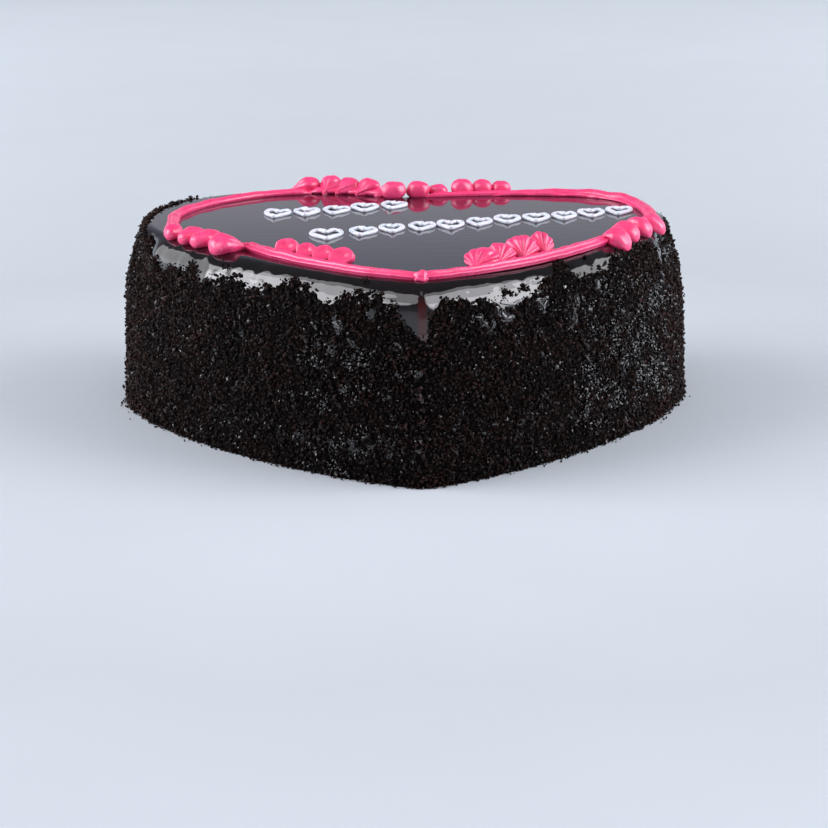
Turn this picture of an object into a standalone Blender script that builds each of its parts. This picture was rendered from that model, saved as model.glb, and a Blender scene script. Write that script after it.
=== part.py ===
"""Heart-shaped black forest cake.

One uncut cake: a solid crumb-coated body, a cap of poured chocolate glaze,
a pink piped border in hand-laid runs, pink piped shells in five groups, and
two slanting rows of small white piped hearts.

Frame: metres, +Z up.  The origin is the middle of the underside's bounding
box.  The heart's tip points along -Y, its two lobes lie along +Y.
"""
import math

import bmesh
import bpy
import numpy as np

MM = 0.001

# ----------------------------------------------------------------- sizes (mm)
GAP = 0.3                 # clearance between touching pieces

CAKE_HALF_WIDTH = 111.5   # widest half width of the crumb-coated wall
CAKE_TIP_Y = -105.7       # where the two straight sides would meet
CAKE_LOBE_LEFT_Y = 105.0  # back of the left lobe
CAKE_LOBE_RIGHT_Y = 99.0  # back of the right lobe
CAKE_NOTCH_Y = 86.0       # bottom of the notch between the lobes
CAKE_TIP_RADIUS = 7.0

TOP_Z = 72.0              # poured glaze surface
EDGE_RADIUS = 9.0         # rounded top edge of the glaze
GLAZE_THICKNESS = 2.3
CRUMB_PROUD = 0.5         # how far the crumb coat stands out past the glaze
WALL_LEAN = 2.5           # the wall leans in by this much up to the glaze
CRUMB_LINE_Z = 60.0       # mean height where the crumb coat ends
CRUMB_LINE_WAVE = 1.8

BORDER_WIDTH = 4.4
BORDER_HEIGHT = 2.9
BORDER_STEP = 6.5         # spacing of the sections along a piped run

HEART_STROKE = 1.9        # thickness of the white piping
DROOP = 0.12              # sag of the right-hand heads over the edge, per mm squared

RING_HALF = 42            # outline divisions from tip to notch, each side

# outline of the cake wall, one set of sizes for each half
CAKE_LEFT = dict(tip=CAKE_TIP_Y, tip_angle=24, tip_handle=67, tip_round=CAKE_TIP_RADIUS,
                 half_width=CAKE_HALF_WIDTH, widest_y=26.4, low_handle=31, high_handle=45,
                 lobe_x=45, lobe_y=CAKE_LOBE_LEFT_Y, lobe_out=42, lobe_in=24,
                 notch_y=CAKE_NOTCH_Y, notch_angle=38, notch_handle=12)
CAKE_RIGHT = dict(CAKE_LEFT, lobe_y=CAKE_LOBE_RIGHT_Y, lobe_x=47, lobe_in=26)

# centre line of the piped border, laid by hand, so the halves differ
BORDER_LEFT = dict(tip=-90, tip_angle=21, tip_handle=40, tip_round=0,
                   half_width=90.7, widest_y=31, low_handle=19.6, high_handle=21.6,
                   lobe_x=37.4, lobe_y=86.2, lobe_out=27.7, lobe_in=21.4,
                   notch_y=72, notch_angle=31, notch_handle=8.9)
BORDER_RIGHT = dict(tip=-90, tip_angle=19, tip_handle=51, tip_round=0,
                    half_width=96.3, widest_y=13.9, low_handle=9.2, high_handle=37.8,
                    lobe_x=38.4, lobe_y=77, lobe_out=58.8, lobe_in=8.9,
                    notch_y=72, notch_angle=37, notch_handle=4)

# runs of border: half, the point where the run starts, the point where it ends
BORDER_RUNS = {
    "border_front_left": ("left", (-3.4, -89.2), (-60.5, -30.2)),
    "border_back_left": ("left", (-85.6, 14.5), (-36.5, 86.2)),
    "border_notch": ("left", (-10.0, 79.0), (-7.4, 77.0)),
    "border_back_right": ("right", (93.6, 8.0), (12.5, 74.2)),
    "border_front_right": ("right", (3.4, -89.2), (69.6, -30.6)),
}
KNOT_WIDTH = 5.6          # small blob where the two front runs meet
KNOT_HEIGHT = 3.6

# groups of piped shells.  first/last: middle of the first and last head;
# steps: place of each head between them; bow: how far the row bulges out;
# tail: (direction in degrees, length) of each tail; width and height of each
SHELLS = {
    "shell_left": dict(first=(-89.3, -5.0), last=(-69.5, -33.0), bow=0.4, ridges=0.03,
                       steps=(0, 0.32, 0.58, 1.0),
                       tail=((84, 9.5), (50, 10.5), (42, 10.5), (14, 9.5)),
                       width=(8.4, 8.6, 9.0, 11.6), height=(5.6, 5.6, 6.0, 6.8)),
    "shell_front_left": dict(first=(-46.2, -40.4), last=(-26.6, -60.2), bow=0.0, ridges=0.04,
                             steps=(0, 0.36, 0.68, 1.0),
                             tail=((-135, 6.0), (-132, 5.8), (-130, 6.2), (-128, 7.2)),
                             width=(8.6, 8.0, 8.2, 8.8), height=(5.2, 4.9, 5.1, 5.3)),
    "shell_front_right": dict(first=(22.6, -69.4), last=(46.6, -47.6), bow=0.6, ridges=0.11,
                              steps=(0, 0.33, 0.66, 1.0),
                              tail=((-112, 6.6), (-100, 6.6), (-88, 7.0), (-80, 6.0)),
                              width=(11.8, 11.0, 11.8, 10.2), height=(7.0, 7.4, 8.8, 8.4)),
    "shell_right": dict(first=(76.6, -26.6), last=(94.6, 3.0), bow=-1.4, ridges=0.05,
                        steps=(0, 0.29, 0.62, 1.0),
                        tail=((146, 7.0), (140, 9.0), (142, 9.0), (148, 8.0)),
                        width=(10.2, 9.6, 9.4, 8.8), height=(7.4, 7.2, 6.8, 5.8)),
    "shell_back_left": dict(first=(-35.0, 91.2), last=(-2.6, 76.4), bow=-2.4, ridges=0.05,
                            steps=(0, 0.26, 0.50, 0.73, 1.0),
                            tail=((188, 8.5), (-120, 6.5), (-140, 6.5), (-142, 6.0), (95, 4.0)),
                            width=(8.6, 9.2, 9.0, 9.0, 9.4), height=(6.6, 7.0, 6.4, 6.4, 6.3)),
    "shell_back_right": dict(first=(7.6, 77.8), last=(42.2, 83.2), bow=-1.2, ridges=0.04,
                             steps=(0, 0.26, 0.53, 0.79, 1.0),
                             tail=((80, 4.0), (85, 3.5), (92, 4.0), (90, 4.0), (88, 4.0)),
                             width=(9.0, 7.6, 9.4, 8.2, 7.4), height=(5.8, 4.2, 5.8, 5.2, 4.4)),
}

# rows of white hearts: first and last middle, count, width, depth, turn
HEART_ROWS = (
    dict(first=(-50.5, 37.6), last=(-3.5, 52.2), count=5, width=9.6, depth=13.0, turn=8, big_first=1.0),
    dict(first=(-29.0, -5.4), last=(85.6, 33.0), count=11, width=9.2, depth=13.0, turn=6, big_first=1.28),
)

# ------------------------------------------------------------------- geometry


def bezier(p0, p1, p2, p3, count):
    t = np.linspace(0, 1, count)[:, None]
    p0, p1, p2, p3 = (np.array(p, float) for p in (p0, p1, p2, p3))
    return (1 - t) ** 3 * p0 + 3 * (1 - t) ** 2 * t * p1 + 3 * (1 - t) * t * t * p2 + t ** 3 * p3


def heart_half(tip, tip_angle, tip_handle, tip_round, half_width, widest_y, low_handle,
               high_handle, lobe_x, lobe_y, lobe_out, lobe_in, notch_y, notch_angle,
               notch_handle):
    """Right half of a heart outline, from the tip round the lobe to the notch."""
    a, b = math.radians(tip_angle), math.radians(notch_angle)
    start = np.array([0.0, tip])
    widest = np.array([half_width, widest_y])
    lobe = np.array([lobe_x, lobe_y])
    notch = np.array([0.0, notch_y])
    side = bezier(start, start + tip_handle * np.array([math.cos(a), math.sin(a)]),
                  widest - [0, low_handle], widest, 90)
    shoulder = bezier(widest, widest + [0, high_handle], lobe + [lobe_out, 0], lobe, 60)
    inner = bezier(lobe, lobe - [lobe_in, 0],
                   notch + notch_handle * np.array([math.cos(b), math.sin(b)]), notch, 50)
    curve = np.vstack([side, shoulder[1:], inner[1:]])
    if tip_round > 0:
        centre = tip + tip_round / math.cos(a)
        t = np.linspace(0, a, 8)
        arc = np.stack([tip_round * np.sin(t), centre - tip_round * np.cos(t)], 1)
        curve = np.vstack([arc, curve[curve[:, 0] > tip_round * math.sin(a) + 0.5]])
        # keep the notch end, whose x is zero as well
        if curve[-1, 0] > 1e-6:
            curve = np.vstack([curve, notch])
    return curve


def inset(half, distance):
    """The half outline moved inward by distance, trimmed where it folds."""
    if abs(distance) < 1e-9:
        return half
    whole = np.vstack([half, (half * [-1, 1])[::-1]])
    tangent = np.gradient(half, axis=0)
    tangent /= np.linalg.norm(tangent, axis=1)[:, None]
    normal = np.stack([-tangent[:, 1], tangent[:, 0]], 1)
    moved = half + distance * normal
    nearest = np.sqrt(((moved[:, None] - whole[None]) ** 2).sum(2)).min(1)
    keep = np.where((nearest >= abs(distance) * 0.995 - 1e-9) & (moved[:, 0] >= -1e-9))[0]
    points = moved[keep]
    first = keep[0]
    if points[0, 0] > 1e-6:
        if first > 0 and moved[first - 1, 0] < 0:
            a, b = moved[first - 1], moved[first]
            start = a + (b - a) * (a[0] / (a[0] - b[0]))
        else:
            start = np.array([0, points[0, 1]])
        start[0] = 0
        points = np.vstack([start, points])
    if points[-1, 0] > 1e-6:
        if distance > 0:
            b = math.atan2(normal[-1, 0], -normal[-1, 1])
            t = np.linspace(b, 0, 6)
            arc = half[-1] + distance * np.stack([np.sin(t), -np.cos(t)], 1)
            arc[-1, 0] = 0
            points = np.vstack([points, arc[1:]])
        else:
            end = points[-1].copy()
            end[0] = 0
            points = np.vstack([points, end])
    return points


def by_length(curve, divisions):
    run = np.concatenate([[0], np.cumsum(np.linalg.norm(np.diff(curve, axis=0), axis=1))])
    at = np.linspace(0, run[-1], divisions + 1)
    return np.stack([np.interp(at, run, curve[:, 0]), np.interp(at, run, curve[:, 1])], 1)


CAKE_HALVES = (by_length(heart_half(**CAKE_RIGHT), 360), by_length(heart_half(**CAKE_LEFT), 360))


def cake_ring(distance):
    """Closed ring round the cake, anticlockwise from the tip, moved inward."""
    right = by_length(inset(CAKE_HALVES[0], distance), RING_HALF)
    left = by_length(inset(CAKE_HALVES[1], distance), RING_HALF) * [-1, 1]
    middle_tip = (right[0] + left[0]) / 2
    middle_notch = (right[-1] + left[-1]) / 2
    ring = np.vstack([middle_tip, right[1:-1], middle_notch, left[1:-1][::-1]])
    return ring


def crumb_line(index, count):
    """Uneven height of the line where crumbs give way to bare glaze."""
    t = 2 * math.pi * index / count
    wave = 0.5 * math.sin(5 * t + 0.6) + 0.3 * math.sin(11 * t + 2.1) + 0.2 * math.sin(17 * t)
    return CRUMB_LINE_Z + CRUMB_LINE_WAVE * wave


def new_object(name, bm, material, smooth_angle=None):
    mesh = bpy.data.meshes.new(name)
    bmesh.ops.recalc_face_normals(bm, faces=bm.faces)
    bm.to_mesh(mesh)
    bm.free()
    obj = bpy.data.objects.new(name, mesh)
    bpy.context.scene.collection.objects.link(obj)
    obj.data.materials.append(material)
    if smooth_angle is not None:
        mesh.shade_smooth()
        mesh.set_sharp_from_angle(angle=math.radians(smooth_angle))
    return obj


def loft(rings, closed=True):
    """Skin a stack of equal rings, given in mm, with flat ends."""
    bm = bmesh.new()
    rows = [[bm.verts.new((p[0] * MM, p[1] * MM, p[2] * MM)) for p in ring] for ring in rings]
    count = len(rows[0])
    spans = range(count) if closed else range(count - 1)
    for low, high in zip(rows, rows[1:]):
        for i in spans:
            j = (i + 1) % count
            bm.faces.new((low[i], low[j], high[j], high[i]))
    bm.faces.new(list(reversed(rows[0])))
    bm.faces.new(rows[-1])
    return bm


def ring_at(distance, height):
    ring = cake_ring(distance)
    if callable(height):
        return [(p[0], p[1], height(i, len(ring))) for i, p in enumerate(ring)]
    return [(p[0], p[1], height) for p in ring]


ARC_MIDDLE = WALL_LEAN + CRUMB_PROUD + EDGE_RADIUS  # inset of the rounded edge's centre
ARC_Z = TOP_Z - EDGE_RADIUS


def edge_rings(radius, angles):
    return [ring_at(ARC_MIDDLE - radius * math.cos(math.radians(a)),
                    ARC_Z + radius * math.sin(math.radians(a))) for a in angles]


def cake_body():
    under = EDGE_RADIUS - GLAZE_THICKNESS - GAP
    rings = [ring_at(0, 0.0), ring_at(WALL_LEAN, crumb_line),
             ring_at(ARC_MIDDLE - under, crumb_line)]
    return loft(rings + edge_rings(under, (0, 45, 90)))


def glaze_cap():
    under = EDGE_RADIUS - GLAZE_THICKNESS

    def skirt(i, n):
        return crumb_line(i, n) + GAP

    inner = edge_rings(under, (90, 45, 0))
    lower = [ring_at(ARC_MIDDLE - under, skirt), ring_at(ARC_MIDDLE - EDGE_RADIUS, skirt)]
    return loft(inner + lower + edge_rings(EDGE_RADIUS, (0, 30, 60, 90)))


def glaze_clearance():
    """The glazed cake grown by the gap, to trim what lies on its rounded edge."""
    grown = EDGE_RADIUS + GAP
    low = [ring_at(ARC_MIDDLE - grown, 40.0)]
    return loft(low + edge_rings(grown, (0, 30, 60, 90)))


def border_path(side, start, end):
    """Even points along the border's centre line between two given places."""
    sizes, mirror = (BORDER_LEFT, -1) if side == "left" else (BORDER_RIGHT, 1)
    fine = by_length(heart_half(**sizes), 800) * [mirror, 1]
    i = int(np.argmin(((fine - np.array(start)) ** 2).sum(1)))
    j = int(np.argmin(((fine - np.array(end)) ** 2).sum(1)))
    part = fine[min(i, j):max(i, j) + 1]
    length = np.linalg.norm(np.diff(part, axis=0), axis=1).sum()
    return by_length(part, max(2, int(round(length / BORDER_STEP))))


def piped_run(path, width, height, clear=0.0):
    """A laid bead with a flat foot and tapering ends, grown all round by clear."""
    section = ((-0.40, 0.0), (0.40, 0.0), (0.5, 0.42), (0.24, 1.0), (-0.24, 1.0), (-0.5, 0.42))
    tangent = np.gradient(path, axis=0)
    tangent /= np.linalg.norm(tangent, axis=1)[:, None]
    across = np.stack([tangent[:, 1], -tangent[:, 0]], 1)
    rings = []
    last = len(path) - 1
    for k, (p, c) in enumerate(zip(path, across)):
        swell = 0.78 if k in (0, last) else 1.0 + 0.05 * math.sin(2.3 * k)
        if clear and k in (0, last):
            p = p + tangent[k] * clear * (-1.2 if k == 0 else 1.2)
        rings.append([])
        for s, z in section:
            x = s * width * swell + math.copysign(1.3 * clear, s)
            up = z * height * swell + (1.3 * clear if z > 0.5 else -3.0 * clear if z == 0 else 0)
            rings[-1].append((p[0] + c[0] * x, p[1] + c[1] * x, TOP_Z + GAP + up))
    return loft(rings)


def shell_profile(s):
    """Half width of a piped shell along its length, 0 at the tail, 1 at its fullest."""
    return math.sin(math.pi * s ** 1.55) ** (1.0 - 0.45 * s)


def piped_shell(head, tail_angle, tail_length, width, height, ridges, stations=6, around=12):
    """A teardrop of piped cream: fat round head, tail drawn off to one side."""
    angle = math.radians(tail_angle)
    back = np.array([math.cos(angle), math.sin(angle)])
    side = np.array([-back[1], back[0]])
    tip = np.array(head) + back * tail_length
    length = tail_length + width / 2
    bm = bmesh.new()
    belly = 0.36 * height

    def vert(along, across, up):
        p = tip - back * along + side * across
        return bm.verts.new((p[0] * MM, p[1] * MM, (TOP_Z + GAP + up) * MM))

    tail = vert(0, 0, 0.12 * height + 0.3)
    rows = []
    for k in range(1, stations + 1):
        s = 0.5 - 0.5 * math.cos(math.pi * k / (stations + 1.0))
        full = shell_profile(s)
        row = []
        for i in range(around):
            phi = 2 * math.pi * i / around
            groove = 1 + (ridges if i % 2 else -ridges) * (1 if math.sin(phi) > -0.1 else 0)
            x = 0.5 * width * full * math.cos(phi) * groove
            if math.sin(phi) >= 0:
                z = belly + (height - belly) * full ** 0.8 * math.sin(phi) * groove
                z = belly * full ** 0.4 + (z - belly)
            else:
                z = belly * full ** 0.4 + (belly + 1.1) * math.sin(phi)
            row.append(vert(length * s, x, z))
        rows.append(row)
    head_end = vert(length, 0, belly * 0.8)
    for i in range(around):
        j = (i + 1) % around
        bm.faces.new((tail, rows[0][i], rows[0][j]))
        for low, high in zip(rows, rows[1:]):
            bm.faces.new((low[i], high[i], high[j], low[j]))
        bm.faces.new((head_end, rows[-1][j], rows[-1][i]))
    bmesh.ops.recalc_face_normals(bm, faces=bm.faces)
    return bm


def slice_off(bm, point, normal):
    """Cut a closed mesh by a plane, drop the normal's side, close the cut."""
    geometry = list(bm.verts) + list(bm.edges) + list(bm.faces)
    cut = bmesh.ops.bisect_plane(bm, geom=geometry, dist=1e-7,
                                 plane_co=(point[0] * MM, point[1] * MM, point[2] * MM),
                                 plane_no=normal, clear_outer=True)
    edges = [e for e in cut["geom_cut"] if isinstance(e, bmesh.types.BMEdge)]
    if edges:
        bmesh.ops.contextual_create(bm, geom=edges)
    return bm


def heart_ring(middle, width, depth, turn, count=14):
    """Centre line of one small piped heart, tip towards -Y."""
    half = by_length(heart_half(tip=-0.55, tip_angle=52, tip_handle=0.28, tip_round=0,
                                half_width=0.5, widest_y=0.14, low_handle=0.18,
                                high_handle=0.17, lobe_x=0.27, lobe_y=0.45, lobe_out=0.14,
                                lobe_in=0.12, notch_y=0.24, notch_angle=62,
                                notch_handle=0.08), count // 2)
    ring = np.vstack([half, (half * [-1, 1])[1:-1][::-1]]) * [width, depth]
    a = math.radians(turn)
    spin = np.array([[math.cos(a), math.sin(a)], [-math.sin(a), math.cos(a)]])
    return ring @ spin.T + np.array(middle)


def piped_loop(ring, stroke):
    """A closed bead that follows a small outline."""
    ahead = np.roll(ring, -1, 0) - np.roll(ring, 1, 0)
    ahead /= np.linalg.norm(ahead, axis=1)[:, None]
    out = np.stack([ahead[:, 1], -ahead[:, 0]], 1)
    section = ((-0.40, 0.0), (0.40, 0.0), (0.5, 0.55), (0.0, 1.0), (-0.5, 0.55))
    bm = bmesh.new()
    rows = [[bm.verts.new(((p[0] + c[0] * s * stroke) * MM, (p[1] + c[1] * s * stroke) * MM,
                           (TOP_Z + GAP + z * stroke * 0.95) * MM)) for s, z in section]
            for p, c in zip(ring, out)]
    for a, b in zip(rows, rows[1:] + rows[:1]):
        for i in range(len(section)):
            j = (i + 1) % len(section)
            bm.faces.new((a[i], a[j], b[j], b[i]))
    return bm


# ------------------------------------------------------------------ materials


def finish(name, colour, roughness, metallic=0.0, coat=0.0):
    material = bpy.data.materials.new(name)
    material.use_nodes = True
    shader = material.node_tree.nodes["Principled BSDF"]
    shader.inputs["Base Color"].default_value = (*colour, 1.0)
    shader.inputs["Roughness"].default_value = roughness
    shader.inputs["Metallic"].default_value = metallic
    shader.inputs["Coat Weight"].default_value = coat
    return material


def build():
    for obj in list(bpy.data.objects):
        bpy.data.objects.remove(obj, do_unlink=True)

    crumb = finish("chocolate_crumbs", (0.018, 0.011, 0.008), 0.85)
    glaze = finish("chocolate_glaze", (0.012, 0.006, 0.005), 0.08, coat=0.6)
    pink = finish("pink_cream", (0.86, 0.07, 0.24), 0.38)
    white = finish("white_cream", (0.88, 0.89, 0.93), 0.35)

    new_object("cake_body", cake_body(), crumb, 40)
    new_object("chocolate_glaze", glaze_cap(), glaze, 40)

    for name, (side, start, end) in BORDER_RUNS.items():
        new_object(name, piped_run(border_path(side, start, end), BORDER_WIDTH, BORDER_HEIGHT),
                   pink, 60)

    knot = bmesh.new()
    bmesh.ops.create_uvsphere(knot, u_segments=10, v_segments=7, radius=KNOT_WIDTH / 2 * MM)
    for v in knot.verts:
        v.co.z = v.co.z * KNOT_HEIGHT / KNOT_WIDTH * 1.5
        v.co.x *= 0.92
        v.co.x, v.co.y, v.co.z = (v.co.x + 0.2 * MM, v.co.y - 91.6 * MM,
                                  v.co.z + (TOP_Z + GAP + 1.0) * MM)
    slice_off(knot, (0, 0, TOP_Z + GAP), (0, 0, -1))
    # the runs on both sides meet the knot face to face
    for side in (-1, 1):
        slice_off(knot, (side * (2.45 - GAP), -90.6, 0), (side, 0, 0))
    new_object("border_knot", knot, pink, 60)

    cutter = new_object("glaze_clearance", glaze_clearance(), glaze)
    runs = bmesh.new()
    for side, start, end in BORDER_RUNS.values():
        grown = piped_run(border_path(side, start, end), BORDER_WIDTH, BORDER_HEIGHT, GAP)
        piece = bpy.data.meshes.new("run")
        grown.to_mesh(piece)
        grown.free()
        runs.from_mesh(piece)
        bpy.data.meshes.remove(piece)
    run_cutter = new_object("border_clearance", runs, pink)
    for guide in (cutter, run_cutter):
        guide.hide_render = True
        guide.display_type = "WIRE"

    for group, g in SHELLS.items():
        first, last = np.array(g["first"]), np.array(g["last"])
        along = (last - first) / np.linalg.norm(last - first)
        out = np.array([along[1], -along[0]])
        heads = [first + (last - first) * s + out * g["bow"] * math.sin(math.pi * s)
                 for s in g["steps"]]
        for k, head in enumerate(heads):
            angle, tail = g["tail"][k]
            width, height = g["width"][k], g["height"][k]
            bm = piped_shell(head, angle, tail, width, height, g["ridges"])
            if group == "shell_right":
                # these heads droop over the rounded edge
                for v in bm.verts:
                    d = (np.array([v.co.x, v.co.y]) / MM - head) @ np.array([0.81, -0.59])
                    if d > 0:
                        v.co.z -= DROOP * d * d * MM
            for n in (k - 1, k + 1):
                if 0 <= n < len(heads):
                    away = heads[n] - head
                    share = width / (width + g["width"][n])
                    length = np.linalg.norm(away)
                    face = head + away * share - away / length * GAP / 2
                    slice_off(bm, (face[0], face[1], 0), (away[0], away[1], 0))
            if group != "shell_right":
                slice_off(bm, (0, 0, TOP_Z + GAP), (0, 0, -1))
            shell = new_object(f"{group}_{k + 1}", bm, pink, 75)
            trims = [("beside_border", run_cutter)]
            if group == "shell_right":
                trims.append(("rest_on_glaze", cutter))
            for label, guide in trims:
                trim = shell.modifiers.new(label, "BOOLEAN")
                trim.operation = "DIFFERENCE"
                trim.solver = "EXACT"
                trim.object = guide

    number = 0
    for row in HEART_ROWS:
        first, last = np.array(row["first"]), np.array(row["last"])
        for k in range(row["count"]):
            number += 1
            place = first + (last - first) * k / (row["count"] - 1)
            scale = row["big_first"] if k == 0 else 1.0 + 0.05 * math.sin(2.1 * number)
            shift = 1.1 * math.sin(1.7 * number)
            if k == 0:
                place = place - np.array([9.0, 3.0]) * (scale - 1.0)
            ring = heart_ring((place[0], place[1] + shift), row["width"] * scale,
                              row["depth"] * scale, row["turn"] + 6 * math.sin(2.9 * number))
            new_object(f"white_heart_{number:02d}", piped_loop(ring, HEART_STROKE), white, 60)


build()
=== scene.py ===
"""Looks of the heart-shaped black forest cake.

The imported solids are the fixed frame.  This script lays the visible surfaces
over them: a mirror-gloss chocolate glaze, a bed of chocolate crumbs with
loose crumbs stuck all over it, ribbed pink piping and small white piped hearts.

Lengths in the functions are millimetres; meshes are written in metres.
"""
import math

import bpy
import numpy as np
from mathutils import Matrix, Vector, noise


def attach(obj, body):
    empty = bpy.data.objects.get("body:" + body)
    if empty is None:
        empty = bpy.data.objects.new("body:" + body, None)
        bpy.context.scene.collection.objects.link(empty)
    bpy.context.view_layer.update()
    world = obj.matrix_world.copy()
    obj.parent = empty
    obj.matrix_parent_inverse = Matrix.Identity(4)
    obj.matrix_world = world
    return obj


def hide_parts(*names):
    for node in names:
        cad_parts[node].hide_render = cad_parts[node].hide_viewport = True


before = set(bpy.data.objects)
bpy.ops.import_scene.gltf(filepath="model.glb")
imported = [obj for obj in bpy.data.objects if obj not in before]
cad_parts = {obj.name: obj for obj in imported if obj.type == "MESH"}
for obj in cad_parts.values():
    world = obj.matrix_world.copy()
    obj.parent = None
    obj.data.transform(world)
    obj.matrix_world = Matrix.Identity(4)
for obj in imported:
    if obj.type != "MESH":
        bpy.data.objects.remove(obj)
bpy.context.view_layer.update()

MM = 0.001

# ----------------------------------------------------------------- sizes (mm)
GAP = 0.3
TOP_Z = 72.0
EDGE_RADIUS = 9.0
ARC_Z = TOP_Z - EDGE_RADIUS
ARC_MIDDLE = 12.0          # inset of the rounded edge's centre
SLUMP = 1.9
BED_DEPTH = 0.9            # the glaze lies this far inside the crumbs at the foot

BORDER_WIDTH = 4.4
BORDER_HEIGHT = 2.9

CAKE_LEFT = dict(tip=-105.7, tip_angle=24, tip_handle=67, tip_round=7,
                 half_width=111.5, widest_y=26.4, low_handle=31, high_handle=45,
                 lobe_x=45, lobe_y=105, lobe_out=42, lobe_in=24,
                 notch_y=86, notch_angle=38, notch_handle=12)
CAKE_RIGHT = dict(CAKE_LEFT, lobe_y=99, lobe_x=47, lobe_in=26)
BORDER_LEFT = dict(tip=-90, tip_angle=21, tip_handle=40, tip_round=0,
                   half_width=90.7, widest_y=31, low_handle=19.6, high_handle=21.6,
                   lobe_x=37.4, lobe_y=86.2, lobe_out=27.7, lobe_in=21.4,
                   notch_y=72, notch_angle=31, notch_handle=8.9)
BORDER_RIGHT = dict(tip=-90, tip_angle=19, tip_handle=51, tip_round=0,
                    half_width=96.3, widest_y=13.9, low_handle=9.2, high_handle=37.8,
                    lobe_x=38.4, lobe_y=77, lobe_out=58.8, lobe_in=8.9,
                    notch_y=72, notch_angle=37, notch_handle=4)


# ------------------------------------------------------------------- outlines
def bezier(p0, p1, p2, p3, count):
    t = np.linspace(0, 1, count)[:, None]
    p0, p1, p2, p3 = (np.array(p, float) for p in (p0, p1, p2, p3))
    return (1 - t) ** 3 * p0 + 3 * (1 - t) ** 2 * t * p1 + 3 * (1 - t) * t * t * p2 + t ** 3 * p3


def heart_half(tip, tip_angle, tip_handle, tip_round, half_width, widest_y, low_handle,
               high_handle, lobe_x, lobe_y, lobe_out, lobe_in, notch_y, notch_angle,
               notch_handle, fine=8):
    """Right half of a heart outline, from the tip round the lobe to the notch."""
    a, b = math.radians(tip_angle), math.radians(notch_angle)
    start = np.array([0.0, tip])
    widest = np.array([half_width, widest_y])
    lobe = np.array([lobe_x, lobe_y])
    notch = np.array([0.0, notch_y])
    side = bezier(start, start + tip_handle * np.array([math.cos(a), math.sin(a)]),
                  widest - [0, low_handle], widest, 90 * fine)
    shoulder = bezier(widest, widest + [0, high_handle], lobe + [lobe_out, 0], lobe, 60 * fine)
    inner = bezier(lobe, lobe - [lobe_in, 0],
                   notch + notch_handle * np.array([math.cos(b), math.sin(b)]), notch, 50 * fine)
    curve = np.vstack([side, shoulder[1:], inner[1:]])
    if tip_round > 0:
        centre = tip + tip_round / math.cos(a)
        t = np.linspace(0, a, 8 * fine)
        arc = np.stack([tip_round * np.sin(t), centre - tip_round * np.cos(t)], 1)
        curve = np.vstack([arc, curve[curve[:, 0] > tip_round * math.sin(a) + 0.05]])
        if curve[-1, 0] > 1e-6:
            curve = np.vstack([curve, notch])
    return curve


def by_length(curve, divisions):
    run = np.concatenate([[0], np.cumsum(np.linalg.norm(np.diff(curve, axis=0), axis=1))])
    at = np.linspace(0, run[-1], divisions + 1)
    return np.stack([np.interp(at, run, curve[:, k]) for k in range(curve.shape[1])], 1)


def inset(half, distance):
    """The half outline moved inward by distance, trimmed where it folds."""
    if abs(distance) < 1e-9:
        return half
    whole = np.vstack([half, (half * [-1, 1])[::-1]])
    tangent = np.gradient(half, axis=0)
    tangent /= np.linalg.norm(tangent, axis=1)[:, None]
    normal = np.stack([-tangent[:, 1], tangent[:, 0]], 1)
    moved = half + distance * normal
    nearest = np.sqrt(((moved[:, None] - whole[None]) ** 2).sum(2)).min(1)
    keep = np.where((nearest >= abs(distance) * 0.998 - 1e-9) & (moved[:, 0] >= -1e-9))[0]
    points = moved[keep]
    if points[0, 0] > 1e-6:
        first = keep[0]
        if first > 0 and moved[first - 1, 0] < 0:
            a, b = moved[first - 1], moved[first]
            start = a + (b - a) * (a[0] / (a[0] - b[0]))
        else:
            start = np.array([0, points[0, 1]])
        start[0] = 0
        points = np.vstack([start, points])
    if points[-1, 0] > 1e-6:
        b = math.atan2(normal[-1, 0], -normal[-1, 1])
        t = np.linspace(b, 0, 16)
        arc = half[-1] + distance * np.stack([np.sin(t), -np.cos(t)], 1)
        arc[-1, 0] = 0
        points = np.vstack([points, arc[1:]])
    return points


HALVES = (by_length(heart_half(**CAKE_RIGHT), 900), by_length(heart_half(**CAKE_LEFT), 900))


def cake_ring(distance, half_count):
    """Closed ring round the cake, anticlockwise from the tip, moved inward."""
    right = by_length(inset(HALVES[0], distance), half_count)
    left = by_length(inset(HALVES[1], distance), half_count) * [-1, 1]
    tip, notch = (right[0] + left[0]) / 2, (right[-1] + left[-1]) / 2
    return np.vstack([tip, right[1:-1], notch, left[1:-1][::-1]])


def glaze_profile(v):
    """Inset and height of the glaze at a distance v up its side, in mm."""
    if v <= ARC_Z:
        return BED_DEPTH + (ARC_MIDDLE - EDGE_RADIUS - BED_DEPTH) * v / ARC_Z, v
    a = min((v - ARC_Z) / EDGE_RADIUS, math.pi / 2)
    return ARC_MIDDLE - EDGE_RADIUS * math.cos(a), ARC_Z + EDGE_RADIUS * math.sin(a)


RIM_V = ARC_Z + EDGE_RADIUS * math.pi / 2     # v where the flat top begins


def slump(u, v):
    """How far the wall bulges in mm at the front, where the thick glaze sank."""
    near = np.minimum(u, 1 - u)
    front = 1 - np.clip((near - 0.13) / 0.07, 0, 1) ** 2 * (3 - 2 * np.clip((near - 0.13) / 0.07, 0, 1))
    above = np.clip((67.3 - v) / 15.0, 0, 1)
    below = np.clip((v - 8.0) / 36.0, 0, 1)
    return SLUMP * front * (1 - (1 - above) ** 2) * below * below * (3 - 2 * below)


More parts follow.
